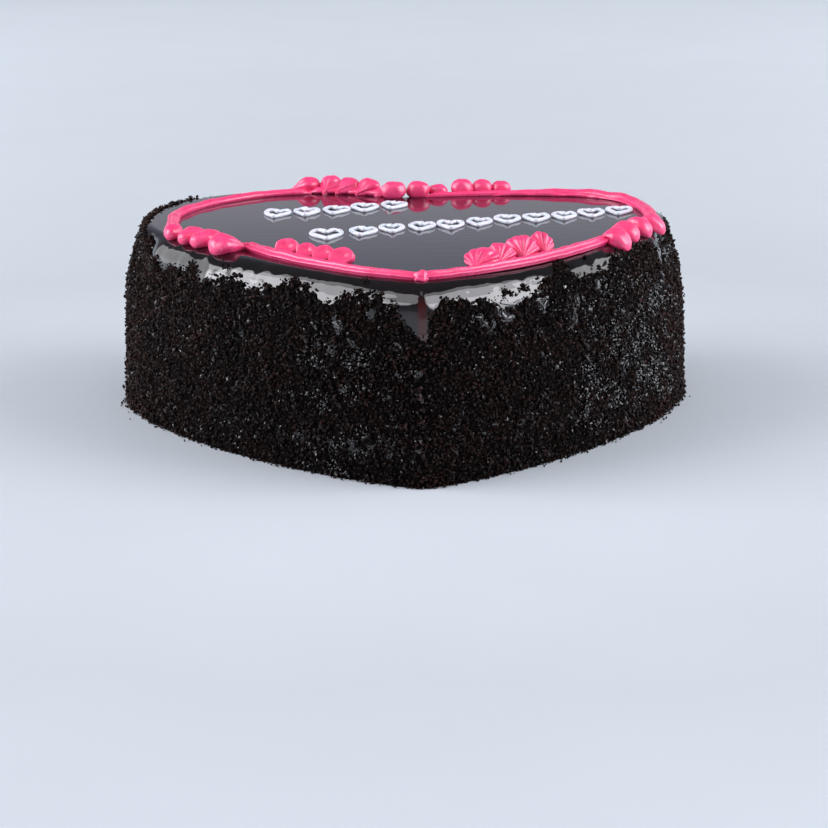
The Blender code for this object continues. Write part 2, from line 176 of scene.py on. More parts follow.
def shoulder(u, v):
    """How far the wall leans in near its top, in mm, at the left and the right corner."""
    left = ramp_up(0.615, 0.665, u) * (1 - ramp_up(0.770, 0.798, u))
    right = ramp_up(0.198, 0.235, u) * (1 - ramp_up(0.335, 0.385, u))
    last = 1 - ramp_up(67.0, 76.5, v)
    return (3.7 * left * ramp_up(47, 67, v) + right * (3.0 * ramp_up(52, 67, v)
                                                       + 1.5 * ramp_up(36, 56, v))) * last


def ramp_up(a, b, x):
    t = np.clip((np.asarray(x, float) - a) / (b - a), 0.0, 1.0)
    return t * t * (3 - 2 * t)


class Side:
    """The cake's side as a sheet: u runs once round from the tip, v runs up in mm."""

    def __init__(self, half_count=420):
        levels = sorted(set(np.linspace(0, ARC_Z, 8).tolist()
                            + np.linspace(ARC_Z, RIM_V, 15).tolist()))
        self.v = np.array(levels)
        grid = []
        for v in levels:
            d, z = glaze_profile(v)
            ring = cake_ring(d, half_count)
            grid.append(np.column_stack([ring, np.full(len(ring), z)]))
        self.grid = np.array(grid)
        self.n = self.grid.shape[1]
        base = self.grid[0]
        self.length = np.linalg.norm(np.roll(base, -1, 0) - base, axis=1).sum()
        along = np.roll(base, -3, 0) - np.roll(base, 3, 0)
        self.out = np.column_stack([along[:, 1], -along[:, 0], 0 * along[:, 0]])
        self.out /= np.linalg.norm(self.out, axis=1)[:, None]

    def at(self, u, v):
        u = np.mod(np.asarray(u, float), 1.0) * self.n
        v = np.clip(np.asarray(v, float), self.v[0], self.v[-1])
        i = np.floor(u).astype(int) % self.n
        f = (u - np.floor(u))[..., None]
        k = np.clip(np.searchsorted(self.v, v, side="right") - 1, 0, len(self.v) - 2)
        g = ((v - self.v[k]) / (self.v[k + 1] - self.v[k]))[..., None]
        j = (i + 1) % self.n
        low = self.grid[k, i] * (1 - f) + self.grid[k, j] * f
        high = self.grid[k + 1, i] * (1 - f) + self.grid[k + 1, j] * f
        out = self.out[i] * (1 - f) + self.out[j] * f
        u = u / self.n
        return low * (1 - g) + high * g + out * (slump(u, v) - shoulder(u, v))[..., None]

    def normal(self, u, v):
        du = 0.6 / self.length
        along = self.at(u + du, v) - self.at(u - du, v)
        up = self.at(u, np.minimum(np.asarray(v, float) + 0.5, RIM_V)) \
            - self.at(u, np.maximum(np.asarray(v, float) - 0.5, 0.0))
        n = np.cross(along, up)
        return n / np.maximum(np.linalg.norm(n, axis=-1, keepdims=True), 1e-9)


SIDE = Side()


# ---------------------------------------------------------------- small tools
def smooth(a, b, x):
    t = np.clip((np.asarray(x, float) - a) / (b - a), 0.0, 1.0)
    return t * t * (3 - 2 * t)


def wobble(points, scale, seed=0.0):
    """Smooth noise between about -1 and 1 at points given in mm."""
    flat = np.asarray(points, float).reshape(-1, 3) / scale + seed
    out = np.fromiter((noise.noise(Vector(p)) for p in flat), float, len(flat))
    return 1.7 * out.reshape(np.asarray(points).shape[:-1])


def pebbles(points, scale, seed=0.0):
    """Rounded bumps with creases between them, 0 in a crease, about 1 on a bump."""
    flat = np.asarray(points, float).reshape(-1, 3) / scale + seed
    out = np.fromiter((noise.voronoi(Vector(p))[0][0] for p in flat), float, len(flat))
    return 1.0 - np.clip(out.reshape(np.asarray(points).shape[:-1]) * 1.25, 0, 1) ** 2


def make_piece(name, verts, faces, material, flat_angle=None):
    """A mesh object from points in mm that rides on the cake."""
    mesh = bpy.data.meshes.new(name)
    mesh.from_pydata((np.asarray(verts, float) * MM).tolist(), [], faces)
    mesh.update()
    mesh.shade_smooth()
    if flat_angle is not None:
        mesh.set_sharp_from_angle(angle=math.radians(flat_angle))
    obj = bpy.data.objects.new(name, mesh)
    bpy.context.scene.collection.objects.link(obj)
    mesh.materials.append(material)
    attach(obj, "root")
    return obj


def sheet_faces(rows, columns, closed=True, offset=0):
    """Quads between successive rings of equal count."""
    faces = []
    spans = columns if closed else columns - 1
    for r in range(rows - 1):
        a = offset + r * columns
        b = a + columns
        for i in range(spans):
            j = (i + 1) % columns
            faces.append((a + i, a + j, b + j, b + i))
    return faces


# ------------------------------------------------------------------ materials
class Shader:
    """A Principled material with short helpers for the nodes that feed it."""

    def __init__(self, name):
        self.material = bpy.data.materials.new(name)
        self.material.use_nodes = True
        self.tree = self.material.node_tree
        self.main = self.tree.nodes["Principled BSDF"]
        self.where = self.add("ShaderNodeTexCoord").outputs["Object"]

    def add(self, kind, **values):
        node = self.tree.nodes.new(kind)
        for key, value in values.items():
            setattr(node, key, value)
        return node

    def link(self, source, target):
        self.tree.links.new(source, target)

    def value(self, name, number):
        self.main.inputs[name].default_value = number

    def noise(self, size_mm, detail=3.0, rough=0.55, distort=0.0, vector=None):
        node = self.add("ShaderNodeTexNoise")
        node.inputs["Scale"].default_value = 1000.0 / size_mm
        node.inputs["Detail"].default_value = detail
        node.inputs["Roughness"].default_value = rough
        node.inputs["Distortion"].default_value = distort
        self.link(vector or self.where, node.inputs["Vector"])
        return node.outputs["Fac"]

    def cells(self, size_mm):
        node = self.add("ShaderNodeTexVoronoi")
        node.inputs["Scale"].default_value = 1000.0 / size_mm
        self.link(self.where, node.inputs["Vector"])
        return node.outputs["Distance"]

    def range(self, source, low, high, out_low, out_high):
        node = self.add("ShaderNodeMapRange")
        for key, number in zip(("From Min", "From Max", "To Min", "To Max"),
                               (low, high, out_low, out_high)):
            node.inputs[key].default_value = number
        self.link(source, node.inputs["Value"])
        return node.outputs["Result"]

    def mix(self, factor, first, second):
        node = self.add("ShaderNodeMix", data_type="RGBA")
        for index, colour in ((6, first), (7, second)):
            if isinstance(colour, tuple):
                node.inputs[index].default_value = (*colour, 1.0)
            else:
                self.link(colour, node.inputs[index])
        self.link(factor, node.inputs[0])
        return node.outputs[2]

    def math(self, operation, first, second):
        node = self.add("ShaderNodeMath", operation=operation)
        for index, item in enumerate((first, second)):
            if isinstance(item, (int, float)):
                node.inputs[index].default_value = item
            else:
                self.link(item, node.inputs[index])
        return node.outputs[0]

    def bump(self, height, distance_mm, strength=1.0):
        node = self.add("ShaderNodeBump")
        node.inputs["Strength"].default_value = strength
        node.inputs["Distance"].default_value = distance_mm * MM
        self.link(height, node.inputs["Height"])
        self.link(node.outputs["Normal"], self.main.inputs["Normal"])


def crumb_material(name, dark, warm, rough, shine):
    s = Shader(name)
    # tone holds random variation and, on the loose crumbs, painted side light that pulls the colour towards
    # warm
    tone = s.add("ShaderNodeAttribute", attribute_name="tone").outputs["Fac"]
    blotch = s.range(s.noise(6.0, 2.0), 0.35, 0.65, 0.0, 1.0)
    fine = s.range(s.noise(0.8, 4.0, 0.7), 0.35, 0.7, 0.0, 1.0)
    factor = s.math("MULTIPLY", s.math("ADD", tone, s.math("MULTIPLY", blotch, 0.3)), fine)
    s.link(s.mix(factor, dark, warm), s.main.inputs["Base Color"])
    s.link(s.range(s.noise(1.3, 3.0), 0.35, 0.68, rough[0], rough[1]), s.main.inputs["Roughness"])
    s.value("Specular IOR Level", shine)
    s.bump(s.noise(0.40, 4.0, 0.7), 0.14, 1.0)
    return s.material


def glaze_material():
    s = Shader("glossy_chocolate_glaze")
    tint = s.mix(s.range(s.noise(14.0, 2.0), 0.3, 0.7, 0.0, 1.0),
                 (0.0030, 0.0020, 0.0022), (0.0060, 0.0036, 0.0038))
    # the syrup is thin and reddish where it ran down the corner
    split = s.add("ShaderNodeSeparateXYZ")
    s.link(s.where, split.inputs[0])
    x, y, z = split.outputs
    sway = s.math("MULTIPLY", s.math("SUBTRACT", s.noise(7.0, 2.0), 0.5), 0.0016)
    across = s.math("ABSOLUTE", s.math("ADD", x, sway), 0.0)
    near_x = s.range(across, 0.0011, 0.0019, 1.0, 0.0)
    near_y = s.range(y, -0.094, -0.097, 0.0, 1.0)
    low = s.range(z, 0.0685, 0.0650, 0.0, 1.0)
    streak = s.math("MULTIPLY", s.math("MULTIPLY", near_x, near_y), low)
    s.link(s.mix(streak, tint, (0.034, 0.0030, 0.0026)), s.main.inputs["Base Color"])
    # a faint skin dulls the mirror in drawn-out strips
    lines = s.add("ShaderNodeMapping")
    lines.inputs["Scale"].default_value = (0.08, 1.0, 0.5)
    s.link(s.where, lines.inputs["Vector"])
    strips = s.noise(2.6, 3.0, 0.5, 0.0, lines.outputs[0])
    s.link(s.range(s.math("ADD", s.math("MULTIPLY", strips, 0.5),
                          s.math("MULTIPLY", s.noise(3.0, 4.0), 0.5)), 0.35, 0.65, 0.03, 0.065),
           s.main.inputs["Roughness"])
    s.value("IOR", 1.72)
    s.bump(strips, 0.014, 0.7)
    return s.material


def cream_material(name, colour, deep, light, gloss, glow):
    s = Shader(name)
    patch = s.range(s.noise(5.0, 3.0), 0.3, 0.7, 0.0, 1.0)
    speck = s.range(s.noise(0.5, 2.0), 0.3, 0.7, 0.0, 1.0)
    base = s.mix(patch, colour, light)
    s.link(s.mix(s.math("MULTIPLY", speck, 0.16), base, deep), s.main.inputs["Base Color"])
    s.link(s.range(s.noise(1.6, 3.0), 0.3, 0.7, gloss, gloss + 0.12), s.main.inputs["Roughness"])
    s.value("Subsurface Weight", glow)
    s.main.inputs["Subsurface Radius"].default_value = (1.0, 0.35, 0.45)
    s.value("Subsurface Scale", 0.0011)
    s.value("Specular IOR Level", 0.85)
    s.bump(s.noise(1.4, 3.0, 0.5), 0.014, 0.5)
    return s.material


CRUMB = crumb_material("chocolate_crumb", (0.0016, 0.0010, 0.0009), (0.050, 0.0170, 0.0115),
                       (0.60, 0.28), 0.13)
SYRUP_CRUMB = crumb_material("wet_chocolate_crumb", (0.0024, 0.0018, 0.0016),
                             (0.010, 0.0055, 0.0045), (0.24, 0.10), 0.85)
BED = crumb_material("packed_crumb", (0.0009, 0.0006, 0.0006), (0.005, 0.0025, 0.0020),
                     (0.95, 0.75), 0.05)
GLAZE = glaze_material()
PINK = cream_material("pink_piping_cream", (0.81, 0.038, 0.165), (0.60, 0.008, 0.065),
                      (0.85, 0.066, 0.220), 0.25, 0.22)
WHITE = cream_material("white_piping_cream", (0.64, 0.66, 0.74), (0.48, 0.50, 0.62),
                       (0.69, 0.71, 0.78), 0.30, 0.2)


# ---------------------------------------------------------------------- glaze
def glaze_piece():
    n = 840
    levels = np.concatenate([[1.0, 20.0, 38.0], np.linspace(46, ARC_Z, 12)[:-1],
                             np.linspace(ARC_Z, RIM_V, 20)])
    u = np.arange(n) / n
    rows = []
    for v in levels:
        p = SIDE.at(u, np.full(n, v))
        nm = SIDE.normal(u, np.full(n, v))
        fade = 1.0 - smooth(RIM_V - 6.0, RIM_V - 1.0, v)
        tall = p * [1, 1, 0.22]
        lift = 0.15 * wobble(tall, 7.0, 3.1) + 0.045 * wobble(p, 3.2, 8.7)
        rows.append(p + nm * (lift * fade)[:, None])
    rows.append(np.column_stack([cake_ring(ARC_MIDDLE + 0.4, n // 2), np.full(n, TOP_Z)]))
    outer = len(rows)
    # the underside of the coat, which faces the cake
    for v in (ARC_Z + 8.0, 60.0, 30.0, 1.0):
        d, z = glaze_profile(v)
        d, z = (d + 2.3, z) if v < 70 else (ARC_MIDDLE - 3.0, TOP_Z - 2.3)
        rows.append(np.column_stack([cake_ring(d, n // 2), np.full(n, z)]))
    verts = np.vstack(rows)
    faces = sheet_faces(outer, n)
    faces.append(tuple((outer - 1) * n + i for i in range(n)))
    inner = outer * n
    for r in range(3):
        a, b = inner + r * n, inner + (r + 1) * n
        faces += [(a + i, a + (i + 1) % n, b + (i + 1) % n, b + i) for i in range(n)]
    faces.append(tuple(inner + i for i in reversed(range(n))))
    last = inner + 3 * n
    faces += [(last + i, last + (i + 1) % n, (i + 1) % n, i) for i in range(n)]
    obj = make_piece("glaze_coat", verts, faces, GLAZE)
    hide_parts("chocolate_glaze")
    return obj


# ------------------------------------------------------------- crumb coverage
# how far up the side the crumbs reach: (place round the cake, distance up in mm)
CRUMB_REACH = ((0.0000, 53.5), (0.0014, 54.5), (0.0030, 63.5), (0.0112, 67.2), (0.0260, 67.4),
               (0.0306, 64.0), (0.0400, 66.4), (0.0440, 65.2), (0.0475, 63.8), (0.0540, 62.2),
               (0.0600, 62.6), (0.0680, 63.4), (0.0750, 64.6), (0.0800, 68.0), (0.0900, 68.4),
               (0.0985, 72.5), (0.1025, 75.0), (0.1060, 72.0), (0.1095, 67.2), (0.1119, 66.0),
               (0.1300, 67.8), (0.1400, 67.0), (0.1500, 70.0), (0.1660, 71.5), (0.1970, 70.8),
               (0.2050, 61.0), (0.2119, 58.4), (0.2188, 59.0), (0.2275, 62.5), (0.2360, 68.0),
               (0.2460, 73.5), (0.3000, 70.0), (0.4000, 66.0), (0.5000, 69.0), (0.5700, 66.5),
               (0.6300, 71.0), (0.6700, 76.5), (0.7350, 76.5), (0.7560, 72.5), (0.7770, 69.0),
               (0.7819, 64.6), (0.8000, 65.6), (0.8037, 61.6), (0.8175, 65.0), (0.8263, 65.4),
               (0.8294, 62.4), (0.8345, 68.0), (0.8425, 67.6), (0.8469, 61.8), (0.8575, 64.2),
               (0.8794, 66.2), (0.8869, 63.6), (0.9031, 66.0), (0.9144, 68.8), (0.9290, 69.0),
               (0.9387, 64.8), (0.9431, 63.3), (0.9490, 65.4), (0.9563, 68.0), (0.9650, 69.8),
               (0.9770, 67.8), (0.9797, 64.8), (0.9850, 65.0), (0.9881, 62.4), (0.9920, 58.5),
               (0.9960, 56.5), (1.0, 53.5))
# spots where the glaze shows between the crumbs, and lone clumps higher up:
# (place round the cake, distance up, half width, half height)
BARE_SPOTS = ((0.9500, 58.0, 0.7, 1.0), (0.9720, 61.5, 0.8, 1.0), (0.1270, 61.0, 1.2, 1.8))
LONE_CLUMPS = ((0.8631, 69.0, 2.4, 1.9), (0.0535, 65.4, 3.6, 1.8), (0.0500, 63.6, 1.6, 1.2),
               (0.0665, 65.8, 3.0, 1.5), (0.0605, 62.8, 1.7, 1.3), (0.1250, 71.5, 1.2, 1.2),
               (0.9660, 72.5, 1.2, 1.0), (0.2130, 66.0, 1.6, 1.6))
# threads of syrup caught between the crumbs: half width in mm, then places
# (place round the cake, distance up)
THREADS = (
    (0.50, ((0.0425, 64.0), (0.0469, 62.4), (0.0488, 60.6))),
    (0.90, ((0.0488, 60.6), (0.0494, 58.3), (0.0519, 56.6), (0.0556, 56.9))),
    (0.55, ((0.0488, 62.4), (0.0531, 61.7), (0.0581, 61.1), (0.0606, 61.9), (0.0640, 63.4))),
    (0.40, ((0.0488, 62.2), (0.0484, 64.8), (0.0506, 66.0))),
    (0.40, ((0.0562, 63.8), (0.0588, 62.8), (0.0612, 61.9))),
    (0.50, ((0.0294, 58.0), (0.0312, 59.3), (0.0350, 58.6), (0.0362, 57.0), (0.0387, 55.7))),
    (0.48, ((0.0431, 56.5), (0.0419, 54.7), (0.0394, 53.1))),
    (0.52, ((0.0762, 60.4), (0.0794, 58.3), (0.0825, 60.4))),
    (0.55, ((0.0794, 58.3), (0.0800, 56.8))),
    (0.50, ((0.1038, 54.2), (0.1062, 50.8), (0.1044, 49.3))),
    (0.50, ((0.1069, 58.6), (0.1081, 56.2))),
    (0.55, ((0.9506, 56.2), (0.9531, 55.2), (0.9519, 53.1))),
    (0.50, ((0.9587, 50.6), (0.9613, 49.3))),
    (0.45, ((0.9469, 47.7), (0.9456, 45.1))),
    (0.45, ((0.1300, 45.0), (0.1322, 43.0), (0.1318, 41.5))),
    (0.45, ((0.1710, 38.0), (0.1725, 36.2))),
    (0.45, ((0.9560, 14.0), (0.9585, 12.4), (0.9580, 10.6))),
)


def thread_distance(u, v):
    """Distance in mm from places on the side to the edge of the nearest thread."""
    best = np.full(np.shape(u), 99.0)
    for half, line in THREADS:
        for (ua, va), (ub, vb) in zip(line[:-1], line[1:]):
            bx, by = (ub - ua) * SIDE.length, vb - va
            px = (np.mod(u - ua + 0.5, 1.0) - 0.5) * SIDE.length
            py = v - va
            t = np.clip((px * bx + py * by) / (bx * bx + by * by), 0, 1)
            best = np.minimum(best, np.hypot(px - t * bx, py - t * by) - half)
    return best


def crumb_cover(u, v, points):
    """How deep inside the crumb coat a place is, in mm; negative on bare glaze."""
    u = np.mod(u, 1.0)
    reach = np.interp(u, [p[0] for p in CRUMB_REACH], [p[1] for p in CRUMB_REACH])
    deep = reach - v + 1.3 * wobble(points, 3.2, 5.0) + 0.7 * wobble(points, 1.5, 9.0)
    for place, high, half, tall in BARE_SPOTS:
        du = (np.mod(u - place + 0.5, 1.0) - 0.5) * SIDE.length
        r = np.sqrt((du / half) ** 2 + ((v - high) / tall) ** 2)
        edge = (r - 1) * min(half, tall) + 1.1 * wobble(points, 1.7, 2.0)
        deep = np.minimum(deep, np.where(r < 2.2, edge, 99.0))
    for place, high, half, tall in LONE_CLUMPS:
        du = (np.mod(u - place + 0.5, 1.0) - 0.5) * SIDE.length
        r = np.sqrt((du / half) ** 2 + ((v - high) / tall) ** 2)
        deep = np.maximum(deep, (1 - r) * min(half, tall) + 0.5 * wobble(points, 1.3, 7.0))
    return np.minimum(deep, thread_distance(u, v) + 0.10)


def sparkle(u, v, points):
    """Share of wet, glinting crumbs at a place on the side."""
    right = smooth(0.09, 0.125, u) * (1 - smooth(0.2, 0.24, u)) * smooth(4, 14, v) \
        * (1 - smooth(54, 66, v))
    left = smooth(0.925, 0.94, u) * (1 - smooth(0.965, 0.98, u)) * (1 - smooth(50, 60, v))
    share = 0.07 + 0.58 * right + 0.40 * left
    return share * smooth(-0.7, 0.9, wobble(points, 8.0, 4.0)) * 1.6


def crumb_bed():
    """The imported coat: a closed core whose side is all fine lumps."""
    n, m = 760, 80
    v = np.linspace(0.0, 76.5, m)
    uu, vv = np.meshgrid(np.arange(n) / n, v)
    base = SIDE.at(uu, vv)
    normal = SIDE.normal(uu, vv)
    deep = crumb_cover(uu, vv, base)
    lumps = 0.55 * pebbles(base, 1.9, 2.0) + 0.35 * wobble(base, 3.4, 1.0)
    height = -1.7 + 1.75 * smooth(-0.6, 1.4, deep) + lumps
    height = np.where(vv < 0.5, np.minimum(height, 0.4), height)
    bed = base + normal * height[..., None]
    bed[0, :, 2] = 0.0
    bed[:, :, 2] = np.maximum(bed[:, :, 2], 0.0)
    top = np.column_stack([cake_ring(ARC_MIDDLE + 1.0, n // 2), np.full(n, TOP_Z - 1.8)])
    verts = np.vstack([bed.reshape(-1, 3), top])
    faces = sheet_faces(m + 1, n)
    faces.append(tuple(reversed(range(n))))
    faces.append(tuple(m * n + i for i in range(n)))
    obj = make_piece("crumb_coat", verts, faces, BED)
    tone = 0.35 + 0.35 * wobble(bed, 2.0, 3.0)
    add_tone(obj, np.concatenate([tone.ravel(), np.zeros(n)]))
    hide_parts("cake_body")
    return obj


def add_tone(obj, values):
    layer = obj.data.attributes.new("tone", "FLOAT", "POINT")
    layer.data.foreach_set("value", np.clip(values, 0, 1).astype(np.float32))


def icosahedron():
    g = (1 + 5 ** 0.5) / 2
    v = np.array([(-1, g, 0), (1, g, 0), (-1, -g, 0), (1, -g, 0), (0, -1, g), (0, 1, g),
                  (0, -1, -g), (0, 1, -g), (g, 0, -1), (g, 0, 1), (-g, 0, -1), (-g, 0, 1)], float)
    f = np.array([(0, 11, 5), (0, 5, 1), (0, 1, 7), (0, 7, 10), (0, 10, 11), (1, 5, 9), (5, 11, 4),
                  (11, 10, 2), (10, 7, 6), (7, 1, 8), (3, 9, 4), (3, 4, 2), (3, 2, 6), (3, 6, 8),
                  (3, 8, 9), (4, 9, 5), (2, 4, 11), (6, 2, 10), (8, 6, 7), (9, 8, 1)])
    return v / np.linalg.norm(v[0]), f


def turned(count, rng):
    """Random rotations as an array of 3 by 3 matrices."""
    q = rng.normal(size=(count, 4))
    q /= np.linalg.norm(q, axis=1)[:, None]
    w, x, y, z = q.T
    return np.stack([1 - 2 * (y * y + z * z), 2 * (x * y - z * w), 2 * (x * z + y * w),
                     2 * (x * y + z * w), 1 - 2 * (x * x + z * z), 2 * (y * z - x * w),
                     2 * (x * z - y * w), 2 * (y * z + x * w), 1 - 2 * (x * x + y * y)],
                    1).reshape(-1, 3, 3)


def bipyramid():
    """Five-sided double pyramid, for the small crumbs."""
    a = 2 * np.pi * np.arange(5) / 5
    v = np.vstack([np.column_stack([np.cos(a), np.sin(a), 0 * a]), [[0, 0, 1], [0, 0, -1]]])
    f = [(i, (i + 1) % 5, 5) for i in range(5)] + [((i + 1) % 5, i, 6) for i in range(5)]
    return v, np.array(f)


def lumps_of(kind, centres, radii, rng):
    """Corner points and triangles of many small irregular lumps."""
    ball, tri = kind
    count, corners = len(centres), len(ball)
    shape = np.stack([rng.uniform(0.95, 1.60, count), rng.uniform(0.72, 1.1, count),
                      rng.uniform(0.60, 0.95, count)], 1)
    jitter = 1 + rng.uniform(-0.27, 0.27, (count, corners, 1))
    local = ball[None] * jitter * shape[:, None] * radii[:, None, None]
    verts = np.einsum("nij,nkj->nki", turned(count, rng), local) + centres[:, None]
    verts = verts.reshape(-1, 3)
    verts[:, 2] = np.maximum(verts[:, 2], 0.02)
    return verts, (tri[None] + corners * np.arange(count)[:, None, None]).reshape(-1, 3)


def crumb_mesh(name, groups, rng):
    """One mesh of crumbs from groups of (kind, centres, radii, tones, wet)."""
    all_verts, all_faces, tone, wet = [], [], [], []
    start = 0
    for kind, centres, radii, tones, shiny in groups:
        verts, faces = lumps_of(kind, centres, radii, rng)
        all_verts.append(verts)
        all_faces.append(faces + start)
        start += len(verts)
        tone.append(np.repeat(tones, len(kind[0])))
        wet.append(np.repeat(shiny, len(kind[1])))
    verts, faces = np.vstack(all_verts), np.vstack(all_faces)
    mesh = bpy.data.meshes.new(name)
    mesh.vertices.add(len(verts))
    mesh.vertices.foreach_set("co", (verts * MM).astype(np.float32).ravel())
    mesh.loops.add(faces.size)
    mesh.loops.foreach_set("vertex_index", faces.astype(np.int32).ravel())
    mesh.polygons.add(len(faces))
    mesh.polygons.foreach_set("loop_start", np.arange(0, faces.size, 3, dtype=np.int32))
    mesh.update(calc_edges=True)
    mesh.shade_flat()
    mesh.materials.append(CRUMB)
    mesh.materials.append(SYRUP_CRUMB)
    mesh.polygons.foreach_set("material_index", np.concatenate(wet).astype(np.int32))
    obj = bpy.data.objects.new(name, mesh)
    bpy.context.scene.collection.objects.link(obj)
    add_tone(obj, np.concatenate(tone))
    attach(obj, "root")
    print(name, "triangles", len(faces))
    return obj


def scattered(rng, step, small):
    """Crumbs on a jittered grid over the side: places, sizes, tones, wet or not."""
    columns, rows = int(SIDE.length / step), int(77.0 / step)
    i, j = np.meshgrid(np.arange(columns), np.arange(rows))
    u = (i + 0.5 * (j % 2) + rng.uniform(-0.45, 0.45, i.shape)) / columns
    v = (j + 0.35 + rng.uniform(-0.45, 0.45, i.shape)) * step
    u, v = np.mod(u.ravel(), 1.0), np.clip(v.ravel(), 0.3, 76.5)
    base = SIDE.at(u, v)
    normal = SIDE.normal(u, v)
    deep = crumb_cover(u, v, base)
    clump = wobble(base, 2.6, 12.0)
    keep = (deep > rng.uniform(-0.45, 0.45, len(u))) & (thread_distance(u, v) > 0.15)
    if small:
        radii = rng.uniform(0.30, 0.58, len(u))
        out = 0.55 + 0.55 * smooth(0.0, 2.0, deep) * (0.6 + 0.5 * clump) \
            + rng.uniform(-0.75, 0.60, len(u)) + 0.8 * (rng.uniform(0, 1, len(u)) > 0.985)
    else:
        radii = 0.50 + 0.42 * rng.beta(1.8, 2.6, len(u)) \
            + 0.22 * (rng.uniform(0, 1, len(u)) > 0.90)
        out = 0.10 + 0.75 * smooth(0.0, 2.5, deep) * (0.55 + 0.55 * clump) \
            + rng.uniform(-0.35, 0.40, len(u)) + 0.9 * (rng.uniform(0, 1, len(u)) > 0.98)
    radii *= 1 + 0.15 * clump
    centres = base + normal * out[:, None]
    centres[:, 2] = np.maximum(centres[:, 2], 0.35)
    # painted light: crumbs on the walls that face the side lamps, away from the front tip, are painted
    # warmer and lighter, and those at the front darker; the rest of the tone varies at random
    painted_side_light = smooth(0.10, 0.22, np.minimum(u, 1 - u))
    tone = 0.05 + 0.30 * painted_side_light + 0.25 * wobble(base, 14.0, 3.3) + rng.uniform(-0.15, 0.38, len(u))
    shiny = rng.uniform(0, 1, len(u)) < sparkle(u, v, base)
    return [x[keep] for x in (centres, radii, tone, shiny, u)]


def loose_crumbs():
    rng = np.random.default_rng(20)
    big, little = scattered(rng, 2.0, False), scattered(rng, 1.2, True)
    # a few that fell off the wall and lie at its foot
    fu = rng.uniform(0, 1, 420)
    foot = SIDE.at(fu, np.zeros(420))
    away = SIDE.normal(fu, np.full(420, 2.0)) * [1, 1, 0]
    foot = foot + away * (0.9 + rng.exponential(0.75, 420))[:, None]
    fr = rng.uniform(0.25, 0.62, 420)
    foot[:, 2] = fr * 0.75
    fallen = [foot, fr, rng.uniform(0, 0.6, 420), rng.uniform(0, 1, 420) < 0.08, fu]
    little = [np.concatenate(pair) for pair in zip(little, fallen)]
    names = ("crumbs_front_right", "crumbs_back_right", "crumbs_back_left", "crumbs_front_left")
    for k, name in enumerate(names):
        groups = []
        for kind, (centres, radii, tone, shiny, u) in ((icosahedron(), big), (bipyramid(), little)):
            part = (u >= k / 4) & (u < (k + 1) / 4)
            groups.append((kind, centres[part], radii[part], tone[part], shiny[part]))
        crumb_mesh(name, groups, rng)


def syrup_threads():
    """Thin flattened beads of glaze that glint between the crumbs."""
    verts, faces, around = [], [], 10
    phi = 2 * np.pi * np.arange(around) / around
    for number, (half, line) in enumerate(THREADS):
        places = np.array(line) * [SIDE.length, 1.0]
        path = by_length(places, max(4, int(np.linalg.norm(np.diff(places, axis=0), axis=1).sum() / 0.35)))
        n = len(path)
        u, v = path[:, 0] / SIDE.length, path[:, 1]
        normal = SIDE.normal(u, v)
        # on bare glaze a thread sinks into the coat
        reach = np.interp(np.mod(u, 1.0), [p[0] for p in CRUMB_REACH], [p[1] for p in CRUMB_REACH])
        middle = SIDE.at(u, v) + normal * (-0.5 + 0.8 * smooth(-0.8, 1.2, reach - v))[:, None]
        ahead = np.gradient(middle, axis=0)
        ahead /= np.linalg.norm(ahead, axis=1)[:, None]
        side = np.cross(ahead, normal)
        t = np.linspace(0, 1, n)
        close = np.sqrt(np.clip(np.sin(np.pi * (0.06 + 0.88 * t)), 0, 1))
        wide = half * close * (0.85 + 0.30 * wobble(middle, 1.1, number))
        start = sum(len(x) for x in verts)
        ring = (middle[:, None] + side[:, None] * (wide[:, None] * np.cos(phi))[..., None]
                + normal[:, None] * (0.26 * wide[:, None] * np.sin(phi))[..., None])
        verts.append(np.vstack([ring.reshape(-1, 3), middle[:1], middle[-1:]]))
        faces += sheet_faces(n, around, offset=start)
        a, b, last = start + n * around, start + n * around + 1, start + (n - 1) * around
        faces += [(start + (i + 1) % around, start + i, a) for i in range(around)]
        faces += [(last + i, last + (i + 1) % around, b) for i in range(around)]
    make_piece("syrup_threads", np.vstack(verts), [tuple(reversed(f)) for f in faces], GLAZE)


# --------------------------------------------------------------------- piping
BORDER_RUNS = {
    "border_front_left": ("left", (-0.2, -90.0), (-62.0, -29.0)),
    "border_back_left": ("left", (-90.6, 29.0), (-36.5, 86.2)),
    "border_notch": ("left", (-10.0, 79.0), (-7.4, 77.0)),
    "border_back_right": ("right", (93.6, 8.0), (10.5, 74.2)),
    "border_front_right": ("right", (0.2, -90.0), (73.2, -27.2)),
}
# heights of each run in mm at even steps from its start to its end
RUN_HEIGHT = {
    "border_front_left": (2.6, 2.9, 3.0, 3.1, 2.8), "border_back_left": (2.9, 2.7, 2.5, 2.4, 2.2),
    "border_notch": (2.2, 2.2), "border_back_right": (3.0, 3.2, 3.1, 2.0, 1.7),
    "border_front_right": (2.6, 3.1, 3.2, 3.4, 3.2),
}
# widths at the same steps, as a share of the usual width
RUN_WIDTH = {"border_back_right": (1.0, 1.05, 1.0, 0.8, 0.7),
             "border_front_left": (1.0, 1.0, 1.22, 1.36, 1.0),
             "border_front_right": (1.0, 1.08, 1.15, 1.15, 1.0)}
# how far the front runs lean out towards the edge at the same steps, in mm
RUN_LEAN = {"border_front_left": (0.0, 1.5, 1.8, 1.7, 0.4),
            "border_front_right": (0.0, 0.9, 1.5, 1.7, 0.6)}
# how far each run narrows at its start and at its end
RUN_ENDS = {"border_front_left": (1.0, 0.42), "border_front_right": (1.0, 0.45)}


